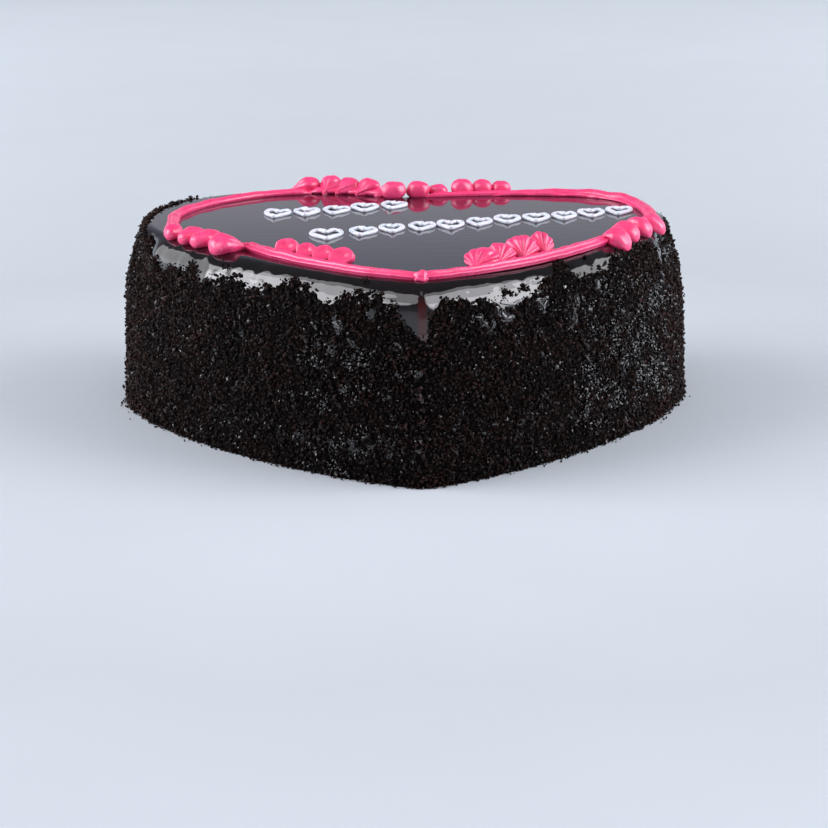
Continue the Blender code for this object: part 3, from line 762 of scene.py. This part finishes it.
def border_line(side, start, end, step):
    sizes, mirror = (BORDER_LEFT, -1) if side == "left" else (BORDER_RIGHT, 1)
    fine = by_length(heart_half(**sizes), 4000) * [mirror, 1]
    i = int(np.argmin(((fine - np.array(start)) ** 2).sum(1)))
    j = int(np.argmin(((fine - np.array(end)) ** 2).sum(1)))
    part = fine[min(i, j):max(i, j) + 1]
    if i > j:
        part = part[::-1]
    length = np.linalg.norm(np.diff(part, axis=0), axis=1).sum()
    return by_length(part, max(4, int(round(length / step)))), length


def strand_piece(name, path, width, height, material, lobes=7, depth=0.06, seed=0.0,
                 around=36, floor=TOP_Z, ends=(0.35, 0.35), rough=1.0, lip=0.0):
    """A squeezed bead along a flat path, ribbed lengthwise by the nozzle's teeth.

    lip folds out the lower edge on the side that the number's sign names.
    """
    count = len(path)
    tangent = np.gradient(path, axis=0)
    tangent /= np.linalg.norm(tangent, axis=1)[:, None]
    across = np.stack([tangent[:, 1], -tangent[:, 0]], 1)
    run = np.concatenate([[0], np.cumsum(np.linalg.norm(np.diff(path, axis=0), axis=1))])
    marks = np.stack([run, np.full(count, seed), np.zeros(count)], 1)
    w = width * (1 + rough * (0.09 * wobble(marks, 9.0) + 0.025 * wobble(marks, 3.6, 5.0)))
    h = height * (1 + rough * (0.09 * wobble(marks, 8.0, 2.0) + 0.025 * wobble(marks, 3.0, 8.0)))
    drift = 0.30 * wobble(marks, 22.0, 4.0)
    sway = 0.30 * rough * wobble(marks, 11.0, 6.0)
    close = 4.5
    taper = np.minimum(smooth(-0.6, close, run) * (1 - ends[0]) + ends[0],
                       smooth(-0.6, close, run[-1] - run) * (1 - ends[1]) + ends[1])
    phi = 2 * np.pi * (np.arange(around) + 0.5) / around
    outer = 0.0 if lip >= 0 else np.pi          # where round the section the lip lies
    rows = []
    for k in range(count):
        teeth = np.abs(np.sin(lobes * phi / 2 + np.pi / 2 + drift[k]))
        g = 1 - depth * (1 - teeth ** 0.6)
        if lip:
            turn = (phi - outer if lip > 0 else outer - phi) + 0.12 * drift[k]
            turn = (turn + np.pi) % (2 * np.pi) - np.pi
            g = g + abs(lip) * np.exp(-((turn - 0.10) / 0.32) ** 2) \
                - 1.3 * abs(lip) * np.exp(-((turn - 0.74) / 0.17) ** 2)
        spread = np.cos(phi)
        if lip:
            # the foot stands straight on the glaze, with no hollow under the bead
            spread = np.where(np.sin(phi) < 0, np.sign(spread) * np.abs(spread) ** 0.35, spread)
        x = 0.5 * w[k] * taper[k] * spread * g
        z = h[k] * taper[k] * (0.40 + np.where(np.sin(phi) > 0, 0.60 * g, 0.55) * np.sin(phi))
        z = np.maximum(z, -0.05)
        foot = 1 - 0.10 * smooth(0.35, 1.0, np.sin(phi))
        p = path[k] + across[k] * sway[k] * 0.4
        rows.append(np.column_stack([p[0] + across[k, 0] * x * foot, p[1] + across[k, 1] * x * foot,
                                     floor + z]))
    verts = np.vstack(rows)
    fine = 0.03 * rough * wobble(verts, 2.6, seed)
    middle = np.repeat(np.array([r.mean(0) for r in rows]), around, axis=0)
    away = verts - middle
    away /= np.maximum(np.linalg.norm(away, axis=1)[:, None], 1e-6)
    verts = verts + away * fine[:, None]
    caps = [verts[:around].mean(0) - np.append(tangent[0], 0) * 0.5,
            verts[-around:].mean(0) + np.append(tangent[-1], 0) * 0.5]
    verts = np.vstack([verts, caps])
    faces = sheet_faces(count, around)
    a, b = count * around, count * around + 1
    faces += [((i + 1) % around, i, a) for i in range(around)]
    last = (count - 1) * around
    faces += [(last + i, last + (i + 1) % around, b) for i in range(around)]
    # section runs anticlockwise seen along the path's right, so turn the faces out
    return make_piece(name, verts, [tuple(reversed(f)) for f in faces], material)


def borders():
    for number, (name, (side, start, end)) in enumerate(BORDER_RUNS.items()):
        path, length = border_line(side, start, end, 0.7)
        if name == "border_back_left":
            lead = bezier((-89.4, 7.0), (-90.4, 13.0), (-91.2, 21.0), path[0], 34)
            path = np.vstack([lead[:-1], path])
        t = np.linspace(0, 1, len(path))
        if name in RUN_LEAN:
            lean = np.interp(t, np.linspace(0, 1, 5), RUN_LEAN[name])
            along = np.gradient(path, axis=0)
            aside = np.stack([along[:, 1], -along[:, 0]], 1)
            aside /= np.linalg.norm(aside, axis=1)[:, None]
            aside *= math.copysign(1, float(aside[len(path) // 2] @ path[len(path) // 2]))
            path = path + aside * smooth(0, 1, lean / 1.8)[:, None] * 1.8
        height = np.interp(t, np.linspace(0, 1, len(RUN_HEIGHT[name])), RUN_HEIGHT[name])
        share = RUN_WIDTH.get(name, (1.0, 1.0))
        width = BORDER_WIDTH * np.interp(t, np.linspace(0, 1, len(share)), share)
        step = path[len(path) // 2 + 1] - path[len(path) // 2]
        right = np.array([step[1], -step[0]])
        lip = math.copysign(0.24, float(right @ path[len(path) // 2]))
        obj = strand_piece(name + "_bead", path, width, height, PINK,
                           seed=3.0 + 7 * number, ends=RUN_ENDS.get(name, (0.35, 0.35)), lip=lip,
                           lobes=5, depth=0.015 if name in RUN_LEAN else 0.06, around=48)
        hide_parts(name)
    # cream squeezed out below the back left shells
    path, length = border_line("left", (-37.5, 86.1), (-5.0, 74.6), 0.6)
    strand_piece("border_back_left_base", path + [0.0, 1.6], 5.2, 2.7, PINK,
                 seed=83.0, lobes=3, around=24, rough=1.8, ends=(0.3, 0.3))
    # a thin second pass of cream that sank against the back run
    path, length = border_line("right", (86.0, 42.0), (40.0, 77.0), 0.6)
    inward = path - np.array([0.0, 20.0])
    path = path - 2.1 * inward / np.linalg.norm(inward, axis=1)[:, None]
    strand_piece("border_back_right_lap", path, 2.3, 1.7, PINK, seed=61.0,
                 lobes=3, around=20, rough=3.2, ends=(0.2, 0.2))


SHELLS = {
    "shell_left": dict(first=(-90.2, -5.6), last=(-69.5, -33.6), bow=0.5, style="drop",
                       steps=(0, 0.34, 0.59, 1.0),
                       tail=((88, 13.0), (52, 13.5), (44, 13.5), (15, 10.0)),
                       width=(7.4, 8.8, 9.4, 12.0), height=(5.2, 5.4, 5.8, 6.6)),
    "shell_front_left": dict(first=(-46.2, -40.4), last=(-26.6, -60.2), bow=0.0, style="petal",
                             steps=(0, 0.36, 0.68, 1.0),
                             tail=((-135, 6.0), (-132, 5.8), (-130, 6.2), (-128, 7.2)),
                             width=(9.0, 7.8, 8.4, 9.2), height=(5.4, 5.0, 5.2, 5.6)),
    "shell_front_right": dict(first=(22.2, -69.4), last=(46.6, -47.6), bow=0.6, style="fan",
                              steps=(0, 0.33, 0.66, 1.0),
                              tail=((-112, 6.6), (-100, 6.6), (-88, 7.0), (-80, 6.0)),
                              width=(13.4, 11.6, 12.6, 10.6), height=(6.8, 7.0, 8.4, 8.0)),
    "shell_right": dict(first=(77.0, -28.2), last=(95.2, 1.0), bow=-0.9, style="droop",
                        steps=(0, 0.32, 0.66, 1.0),
                        tail=((146, 8.0), (142, 9.5), (143, 9.5), (150, 8.5)),
                        width=(10.8, 9.4, 9.4, 8.6), height=(6.0, 6.2, 6.0, 5.4)),
    "shell_back_left": dict(first=(-37.2, 91.6), last=(-2.8, 76.4), bow=-2.2, style="leaf",
                            steps=(0, 0.235, 0.43, 0.665, 1.0),
                            tail=((188, 8.5), (-120, 6.5), (-140, 6.5), (-142, 6.0), (95, 4.0)),
                            width=(9.2, 10.4, 11.4, 11.4, 10.8), height=(6.6, 7.1, 6.6, 6.7, 7.0)),
    "shell_back_right": dict(first=(7.6, 77.8), last=(42.2, 83.2), bow=-1.2, style="dome",
                             steps=(0, 0.26, 0.53, 0.79, 1.0),
                             tail=((80, 4.0), (85, 3.5), (92, 4.0), (90, 4.0), (88, 4.0)),
                             width=(9.8, 8.4, 10.2, 9.0, 8.4), height=(6.5, 4.8, 6.5, 6.0, 5.3)),
}
# teeth: grooves round a shell; cut: their depth at the head and at the tail; edge: how
# broad they are; fade: where they end; waist: how pinched the tail is; dish: depth in mm of
# the hollow in the face before the rim; stub: the tail's width; sag: how far the head sinks
# over the rounded edge; under: how far it bellies out below
STYLES = {
    "drop": dict(teeth=5, cut=(0.00, 0.15), edge=0.7, fade=0.74, waist=1.35, dish=0.0, stub=0.10,
                 sag=0.25, under=1.6),
    "fold": dict(teeth=4, cut=(0.02, 0.36), edge=0.5, fade=0.80, waist=1.75, dish=0.0, stub=0.24,
                 sag=0.25, under=1.6),
    "fan": dict(teeth=10, cut=(0.02, 0.52), edge=0.5, fade=0.86, waist=1.45, dish=0.8, stub=0.12,
                sag=0.0, under=1.1),
    "droop": dict(teeth=5, cut=(0.03, 0.32), edge=0.6, fade=0.85, waist=1.40, dish=0.0, stub=0.10,
                  sag=0.80, under=2.2),
    "leaf": dict(teeth=6, cut=(0.05, 0.32), edge=0.6, fade=0.80, waist=1.50, dish=0.4, stub=0.10,
                 sag=0.0, under=1.1),
    "dome": dict(teeth=5, cut=(0.02, 0.14), edge=0.7, fade=0.74, waist=1.40, dish=0.0, stub=0.10,
                 sag=0.0, under=1.1),
}
OUTLINE = np.vstack([half[::4] * [mirror, 1] for half, mirror in zip(HALVES, (1, -1))])


def edge_reach(points):
    """How far each place lies beyond the flat top, out over the rounded edge, in mm."""
    near = np.sqrt(((points[:, None, :2] - OUTLINE[None]) ** 2).sum(2)).min(1)
    return np.clip(ARC_MIDDLE - near, 0, EDGE_RADIUS * 0.97)


def edge_drop(reach):
    """How far the rounded edge has fallen below the flat top there."""
    return EDGE_RADIUS - np.sqrt(EDGE_RADIUS ** 2 - reach ** 2)


def shell_piece(name, head, tail_angle, tail_length, width, height, style, seed):
    """A dollop squeezed at the head and drawn off to a tail."""
    look = STYLES[style]
    stations, around = 40, 56
    angle = math.radians(tail_angle)
    back = np.array([math.cos(angle), math.sin(angle)])
    side = np.array([-back[1], back[0]])
    tip = np.array(head) + back * tail_length
    length = tail_length + width / 2
    s = (0.5 - 0.5 * np.cos(np.pi * np.arange(1, stations + 1) / (stations + 1)))[:, None]
    phi = (2 * np.pi * np.arange(around) / around)[None, :]
    full = np.sin(np.pi * s ** look["waist"]) ** (1.0 - 0.60 * s)
    full = np.maximum(full, look["stub"] * np.sqrt(np.clip(s / 0.06, 0, 1)) * (s < 0.5))
    lean = 0.5 * math.sin(1.9 * seed)
    teeth = np.abs(np.sin(look["teeth"] * phi / 2 + 0.9 * seed + lean * (1 - s)))
    depth = look["cut"][1] + (look["cut"][0] - look["cut"][1]) * smooth(0.1, look["fade"], s)
    g = 1 - depth * (1 - teeth ** look["edge"])
    g = g - 0.010 * (1 - np.abs(np.sin(11 * phi + seed)))
    belly = 0.38 * height
    up = np.sin(phi)
    x = 0.5 * width * full * np.cos(phi) * g
    # the axis rises from the tail and stays up in the head, which curls in below
    headward = smooth(0.0, 0.3, s - 0.5 ** (1 / look["waist"]))
    axis = belly * (full ** 0.4 * (1 - headward) + headward)
    top = axis + (height - belly) * full ** 0.8 * up * g
    low = axis + (belly + look["under"]) * full ** (0.4 + 0.4 * headward) * up
    z = np.where(up >= 0, top, low)
    bend = 0.35 * math.sin(2.7 * seed) * np.sin(np.pi * s)
    place = tip[None, None, :] - back * (length * s)[..., None] + side * (x + bend)[..., None]
    if look["dish"]:
        # the face towards the tail is pressed in like a cup, so that the rim stands out
        far = ((x / (0.34 * width)) ** 2 + ((z - 0.62 * height) / (0.30 * height)) ** 2)
        press = look["dish"] * np.exp(-far) * (1 - smooth(0.62, 0.74, s))
        place = place - back * press[..., None]
    points = np.concatenate([place, (TOP_Z + z)[..., None]], 2)
    ends = np.array([[*tip, TOP_Z + 0.12 * height + 0.3],
                     [*(tip - back * length), TOP_Z + belly]])
    verts = np.vstack([points.reshape(-1, 3), ends])
    middle = np.vstack([np.repeat(points.mean(1), around, axis=0), ends - 1e-3])
    away = verts - middle
    away /= np.maximum(np.linalg.norm(away, axis=1)[:, None], 1e-6)
    weight = np.append(np.repeat(full.ravel(), around), (0, 0.5))
    bumpy = 0.035 * width * wobble(verts, 4.2, seed * 3.1) + 0.06 * wobble(verts, 1.5, seed)
    verts = verts + away * (bumpy * weight)[:, None]
    reach = edge_reach(verts)
    verts[:, 2] = np.maximum(verts[:, 2] - look["sag"] * reach ** 2 / (2 * EDGE_RADIUS),
                             TOP_Z - 0.08 - edge_drop(reach))
    faces = sheet_faces(stations, around)
    a, b = stations * around, stations * around + 1
    faces += [((i + 1) % around, i, a) for i in range(around)]
    last = (stations - 1) * around
    faces += [(last + i, last + (i + 1) % around, b) for i in range(around)]
    # the sections run clockwise seen from the tail, so turn the faces out
    obj = make_piece(name + "_cream", verts, [tuple(reversed(f)) for f in faces], PINK)
    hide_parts(name)
    return obj


def petal_piece(name, head, tail_angle, width, height, seed):
    """A round dollop whose face towards the run is cupped inside a smooth rim."""
    stations, around = 44, 48
    angle = math.radians(tail_angle)
    back = np.array([math.cos(angle), math.sin(angle)])
    look_to = 0.30 * back + np.array([0.0, -0.70])
    look_to /= np.linalg.norm(look_to)
    rise = math.radians(30 + 4 * math.sin(seed))
    axis = np.array([look_to[0] * math.cos(rise), look_to[1] * math.cos(rise), math.sin(rise)])
    one = np.cross(axis, [0, 0, 1.0])
    one /= np.linalg.norm(one)
    two = np.cross(one, axis)
    theta = (np.pi * np.arange(1, stations + 1) / (stations + 1))[:, None, None]
    phi = (2 * np.pi * np.arange(around) / around)[None, :, None]
    ray = np.cos(theta) * axis + np.sin(theta) * (np.cos(phi) * one + np.sin(phi) * two)
    fold = 1 - np.abs(np.sin(2.5 * phi + seed)) ** 0.6
    reach = 1 - 0.48 * np.exp(-(theta / 0.72) ** 4) + 0.11 * np.exp(-((theta - 0.98) / 0.17) ** 2) \
        - 0.03 * fold * np.exp(-((theta - 0.75) / 0.40) ** 2)
    size = np.array([0.5 * width, 0.46 * width, 0.62 * height])
    points = ray * reach * size
    # the foot runs out towards the run
    towards = np.clip(ray[..., 0] * back[0] + ray[..., 1] * back[1], 0, 1) * smooth(0.5, -0.6, ray[..., 2])
    points[..., :2] += towards[..., None] ** 2 * back * 3.4
    centre = np.array([*head, TOP_Z + 0.42 * height])
    ends = np.array([axis * 0.60, -axis]) * size
    verts = np.vstack([points.reshape(-1, 3), ends])
    away = verts / np.maximum(np.linalg.norm(verts, axis=1)[:, None], 1e-6)
    verts = verts + centre
    verts = verts + away * (0.022 * width * wobble(verts, 4.0, seed * 3.1))[:, None]
    verts[:, 2] = np.maximum(verts[:, 2], TOP_Z - 0.08)
    faces = sheet_faces(stations, around)
    a, b = stations * around, stations * around + 1
    faces += [((i + 1) % around, i, a) for i in range(around)]
    last = (stations - 1) * around
    faces += [(last + i, last + (i + 1) % around, b) for i in range(around)]
    obj = make_piece(name + "_cream", verts, faces, PINK)
    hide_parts(name)
    return obj


def shells():
    number = 0
    for group, g in SHELLS.items():
        first, last = np.array(g["first"]), np.array(g["last"])
        along = (last - first) / np.linalg.norm(last - first)
        out = np.array([along[1], -along[0]])
        for k, place in enumerate(g["steps"]):
            number += 1
            head = first + (last - first) * place + out * g["bow"] * math.sin(math.pi * place)
            angle, tail = g["tail"][k]
            if g["style"] == "petal":
                petal_piece(f"{group}_{k + 1}", head, angle, g["width"][k], g["height"][k],
                            1.0 + number)
                continue
            style = "fold" if (group, k) == ("shell_left", 3) else g["style"]
            shell_piece(f"{group}_{k + 1}", head, angle, tail, g["width"][k], g["height"][k],
                        style, 1.0 + number)


def knot():
    """The small lump where the two front runs meet, pinched and torn off."""
    stations, around = 26, 40
    t = np.linspace(0.04, 0.96, stations)[:, None] * np.pi
    phi = (2 * np.pi * np.arange(around) / around)[None, :]
    r = 1 + 0.12 * np.abs(np.sin(3 * phi + 1.2 * t)) - 0.06
    x = 2.5 * np.cos(phi) * np.sin(t) * r + 0.2
    y = 2.4 * np.sin(phi) * np.sin(t) * r - 90.9
    z = TOP_Z + 0.9 + 2.4 * np.cos(t) * r
    points = np.stack([x + 0 * z, y + 0 * z, z + 0 * x], 2).reshape(-1, 3)
    verts = np.vstack([points, [[0.2, -90.9, TOP_Z + 3.4], [0.2, -90.9, TOP_Z - 1.0]]])
    away = verts - np.array([0.2, -90.9, TOP_Z + 0.9])
    away /= np.linalg.norm(away, axis=1)[:, None]
    verts = verts + away * (0.36 * wobble(verts, 2.2, 3.0) + 0.16 * wobble(verts, 0.9, 1.0))[:, None]
    verts[:, 2] = np.maximum(verts[:, 2], TOP_Z - 0.08 - edge_drop(edge_reach(verts)))
    faces = [tuple(reversed(f)) for f in sheet_faces(stations, around)]
    a, b = stations * around, stations * around + 1
    faces += [(i, (i + 1) % around, a) for i in range(around)]
    last = (stations - 1) * around
    faces += [(last + (i + 1) % around, last + i, b) for i in range(around)]
    obj = make_piece("border_knot_cream", verts, faces, PINK)
    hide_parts("border_knot")


HEART_STROKE = 1.55
HEART_ROWS = (
    dict(first=(-50.5, 37.6), last=(-3.5, 52.2), count=5, width=9.6, depth=13.0, turn=8, big_first=1.0),
    dict(first=(-29.0, -5.4), last=(85.6, 33.0), count=11, width=9.2, depth=13.0, turn=6, big_first=1.28),
)


def heart_ring(middle, width, depth, turn, count):
    half = by_length(heart_half(tip=-0.55, tip_angle=52, tip_handle=0.28, tip_round=0,
                                half_width=0.5, widest_y=0.14, low_handle=0.18,
                                high_handle=0.17, lobe_x=0.27, lobe_y=0.45, lobe_out=0.14,
                                lobe_in=0.12, notch_y=0.24, notch_angle=62,
                                notch_handle=0.08), count // 2)
    ring = np.vstack([half, (half * [-1, 1])[1:-1][::-1]]) * [width, depth]
    a = math.radians(turn)
    spin = np.array([[math.cos(a), math.sin(a)], [-math.sin(a), math.cos(a)]])
    return ring @ spin.T + np.array(middle)


def white_heart(name, ring, stroke, seed):
    """A small heart drawn with a round nozzle: a bead that swells and thins."""
    count, around = len(ring), 14
    # the bead starts and ends in the notch, where it is fattest
    start = count // 2
    path = np.roll(ring, -start, 0)
    ahead = np.roll(path, -1, 0) - np.roll(path, 1, 0)
    ahead /= np.linalg.norm(ahead, axis=1)[:, None]
    out = np.stack([ahead[:, 1], -ahead[:, 0]], 1)
    t = np.arange(count) / count
    turn = 2 * np.pi * t
    marks = np.stack([np.cos(turn) * 3, np.sin(turn) * 3, np.full(count, seed)], 1)
    size = stroke * (1 + 0.15 * wobble(marks, 1.6) + 0.26 * np.exp(-((t - 0.02) / 0.045) ** 2)
                     + 0.18 * np.exp(-((t - 0.5) / 0.035) ** 2))
    phi = 2 * np.pi * np.arange(around) / around
    rows = []
    for k in range(count):
        x = 0.52 * size[k] * np.cos(phi)
        z = size[k] * np.maximum(0.40 + 0.55 * np.sin(phi), -0.03)
        rows.append(np.column_stack([path[k, 0] + out[k, 0] * x, path[k, 1] + out[k, 1] * x,
                                     TOP_Z + z]))
    verts = np.vstack(rows)
    verts = verts + 0.06 * wobble(verts, 1.3, seed)[:, None] * [1, 1, 0.6]
    faces = sheet_faces(count, around)
    faces += [((count - 1) * around + i, (count - 1) * around + (i + 1) % around,
               (i + 1) % around, i) for i in range(around)]
    obj = make_piece(name + "_cream", verts, [tuple(reversed(f)) for f in faces], WHITE)
    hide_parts(name)
    return obj


def hearts():
    number = 0
    for row in HEART_ROWS:
        first, last = np.array(row["first"]), np.array(row["last"])
        for k in range(row["count"]):
            number += 1
            place = first + (last - first) * k / (row["count"] - 1)
            scale = row["big_first"] if k == 0 else 1.0 + 0.05 * math.sin(2.1 * number)
            shift = 1.1 * math.sin(1.7 * number)
            if k == 0:
                place = place - np.array([9.0, 3.0]) * (scale - 1.0)
            ring = heart_ring((place[0], place[1] + shift), row["width"] * scale,
                              row["depth"] * scale, row["turn"] + 6 * math.sin(2.9 * number), 64)
            white_heart(f"white_heart_{number:02d}", ring, HEART_STROKE, 2.0 * number)


# ---------------------------------------------------------------------- stage
def stage():
    s = Shader("pale_floor")
    # painted light: the floor's colour is lighter away from the middle to make up for the lamps' fall-off,
    # so that it looks even, and lighter again right by the cake to cancel part of the cake's shadow
    far = s.add("ShaderNodeVectorMath", operation="LENGTH")
    s.link(s.where, far.inputs[0])
    tone = s.range(far.outputs["Value"], 0.0, 2.0, 0.0, 1.0)
    mottle = s.range(s.noise(90.0, 3.0), 0.3, 0.7, -0.01, 0.01)
    sweep = s.add("ShaderNodeValToRGB")
    s.link(s.math("ADD", tone, mottle), sweep.inputs["Fac"])
    steps = sweep.color_ramp.elements
    # the first stop, next to the cake, is painted lighter than the next one to cancel part of the cake's
    # shadow
    steps[0].position, steps[0].color = 0.075, (0.500, 0.538, 0.578, 1)
    steps[1].position, steps[1].color = 0.800, (0.855, 0.919, 0.985, 1)
    for place, colour in ((0.150, (0.450, 0.485, 0.521, 1)), (0.225, (0.492, 0.531, 0.571, 1)),
                          (0.300, (0.530, 0.572, 0.614, 1)), (0.390, (0.576, 0.621, 0.667, 1)),
                          (0.500, (0.644, 0.694, 0.745, 1)), (0.625, (0.743, 0.800, 0.857, 1))):
        steps.new(place).color = colour
    s.link(sweep.outputs["Color"], s.main.inputs["Base Color"])
    s.value("Roughness", 0.8)
    s.value("Specular IOR Level", 0.3)
    mesh = bpy.data.meshes.new("floor")
    ring = [(5.0 * math.cos(2 * math.pi * i / 96), 5.0 * math.sin(2 * math.pi * i / 96), 0.0)
            for i in range(96)]
    mesh.from_pydata(ring, [], [tuple(range(96))])
    floor = bpy.data.objects.new("floor", mesh)
    bpy.context.scene.collection.objects.link(floor)
    mesh.materials.append(s.material)

    world = bpy.data.worlds.new("studio")
    bpy.context.scene.world = world
    world.use_nodes = True
    tree = world.node_tree
    back = tree.nodes["Background"]
    where = tree.nodes.new("ShaderNodeTexCoord")
    split = tree.nodes.new("ShaderNodeSeparateXYZ")
    ramp = tree.nodes.new("ShaderNodeValToRGB")
    tree.links.new(where.outputs["Generated"], split.inputs[0])
    tree.links.new(split.outputs["Z"], ramp.inputs["Fac"])
    tree.links.new(ramp.outputs["Color"], back.inputs["Color"])
    ramp.color_ramp.elements[0].position = 0.0
    ramp.color_ramp.elements[0].color = (0.60, 0.68, 0.76, 1)
    ramp.color_ramp.elements[1].position = 1.0
    ramp.color_ramp.elements[1].color = (0.10, 0.11, 0.125, 1)
    for place, colour in ((0.13, (0.58, 0.63, 0.72, 1)), (0.178, (0.48, 0.475, 0.555, 1)),
                          (0.200, (0.290, 0.305, 0.38, 1)), (0.25, (0.22, 0.23, 0.29, 1)),
                          (0.62, (0.10, 0.11, 0.13, 1))):
        element = ramp.color_ramp.elements.new(place)
        element.color = colour
    back.inputs["Strength"].default_value = 1.0


def softbox(name, azimuth, distance, middle_z, width, height, glow, colour=(1, 1, 1), tilt_to=0.04):
    """A rectangular light at an azimuth from the front, turned to the cake.  glow is its brightness."""
    light = bpy.data.lights.new(name, "AREA")
    light.shape = "RECTANGLE"
    light.size, light.size_y = width, height
    light.energy = glow * math.pi * width * height
    light.color = colour
    obj = bpy.data.objects.new(name, light)
    a = math.radians(azimuth)
    place = Vector((distance * math.sin(a), -distance * math.cos(a), middle_z))
    obj.location = place
    obj.rotation_euler = (Vector((0, 0, tilt_to)) - place).to_track_quat("-Z", "Y").to_euler()
    bpy.context.scene.collection.objects.link(obj)
    obj.visible_camera = False
    return obj


def lights():
    # each side is lit by three cloths of growing size, so that its glow fades to the rim
    for side, azimuth, glow, cloths in (
            ("left", -82, 1.06, ((1.20, 0.9, 2.1), (1.38, 1.3, 2.1), (1.52, 1.75, 1.8))),
            ("right", 75, 1.10, ((0.95, 0.9, 2.4), (1.15, 1.3, 2.4), (1.30, 1.75, 1.5)))):
        for ring, (width, height, share) in enumerate(cloths):
            softbox(f"softbox_{side}_{ring}", azimuth, 1.5 - 0.01 * ring, 0.62 + 0.12 * ring, width, height,
                    glow * share, (0.95, 0.945, 1.0))
    softbox("panel_left", -118, 1.7, 0.5, 1.1, 1.0, 1.6, (0.97, 0.98, 1.0))
    softbox("panel_right", 114, 1.7, 0.5, 1.1, 1.0, 2.3, (0.97, 0.98, 1.0))
    softbox("softbox_top", 0, 0.5, 1.7, 1.0, 0.6, 0.7, (1.0, 1.0, 1.0))
    softbox("fill_front", 8, 1.6, 0.75, 1.2, 0.9, 0.4).visible_glossy = False
    fill = bpy.data.lights.new("fill", "SUN")
    fill.energy = 0.95
    fill.angle = 2.2
    obj = bpy.data.objects.new("fill", fill)
    bpy.context.scene.collection.objects.link(obj)
    obj.visible_camera = False
    obj.visible_glossy = False


def camera():
    data = bpy.data.cameras.new("camera")
    obj = bpy.data.objects.new("camera", data)
    bpy.context.scene.collection.objects.link(obj)
    data.sensor_width = 36.0
    data.lens = 2500.0 * 36.0 / 828.0
    data.clip_start, data.clip_end = 0.05, 50.0
    right = (0.9987628642783345, -0.049392023193096386, -0.005759251985270603)
    up = (0.018314865837555636, 0.2577031372910786, 0.9660505466691107)
    ahead = (0.04623101370173005, 0.9649608909563269, -0.2582889318125775)
    place = (-0.04343922, -0.94420588, 0.25208605)
    obj.matrix_world = Matrix([[right[i], up[i], -ahead[i], place[i]] for i in range(3)]
                              + [[0, 0, 0, 1]])
    bpy.context.scene.camera = obj


camera()
stage()
lights()
glaze_piece()
crumb_bed()
loose_crumbs()
syrup_threads()
borders()
shells()
knot()
hearts()
bpy.context.scene.view_settings.view_transform = "Standard"
bpy.context.scene.view_settings.look = "None"
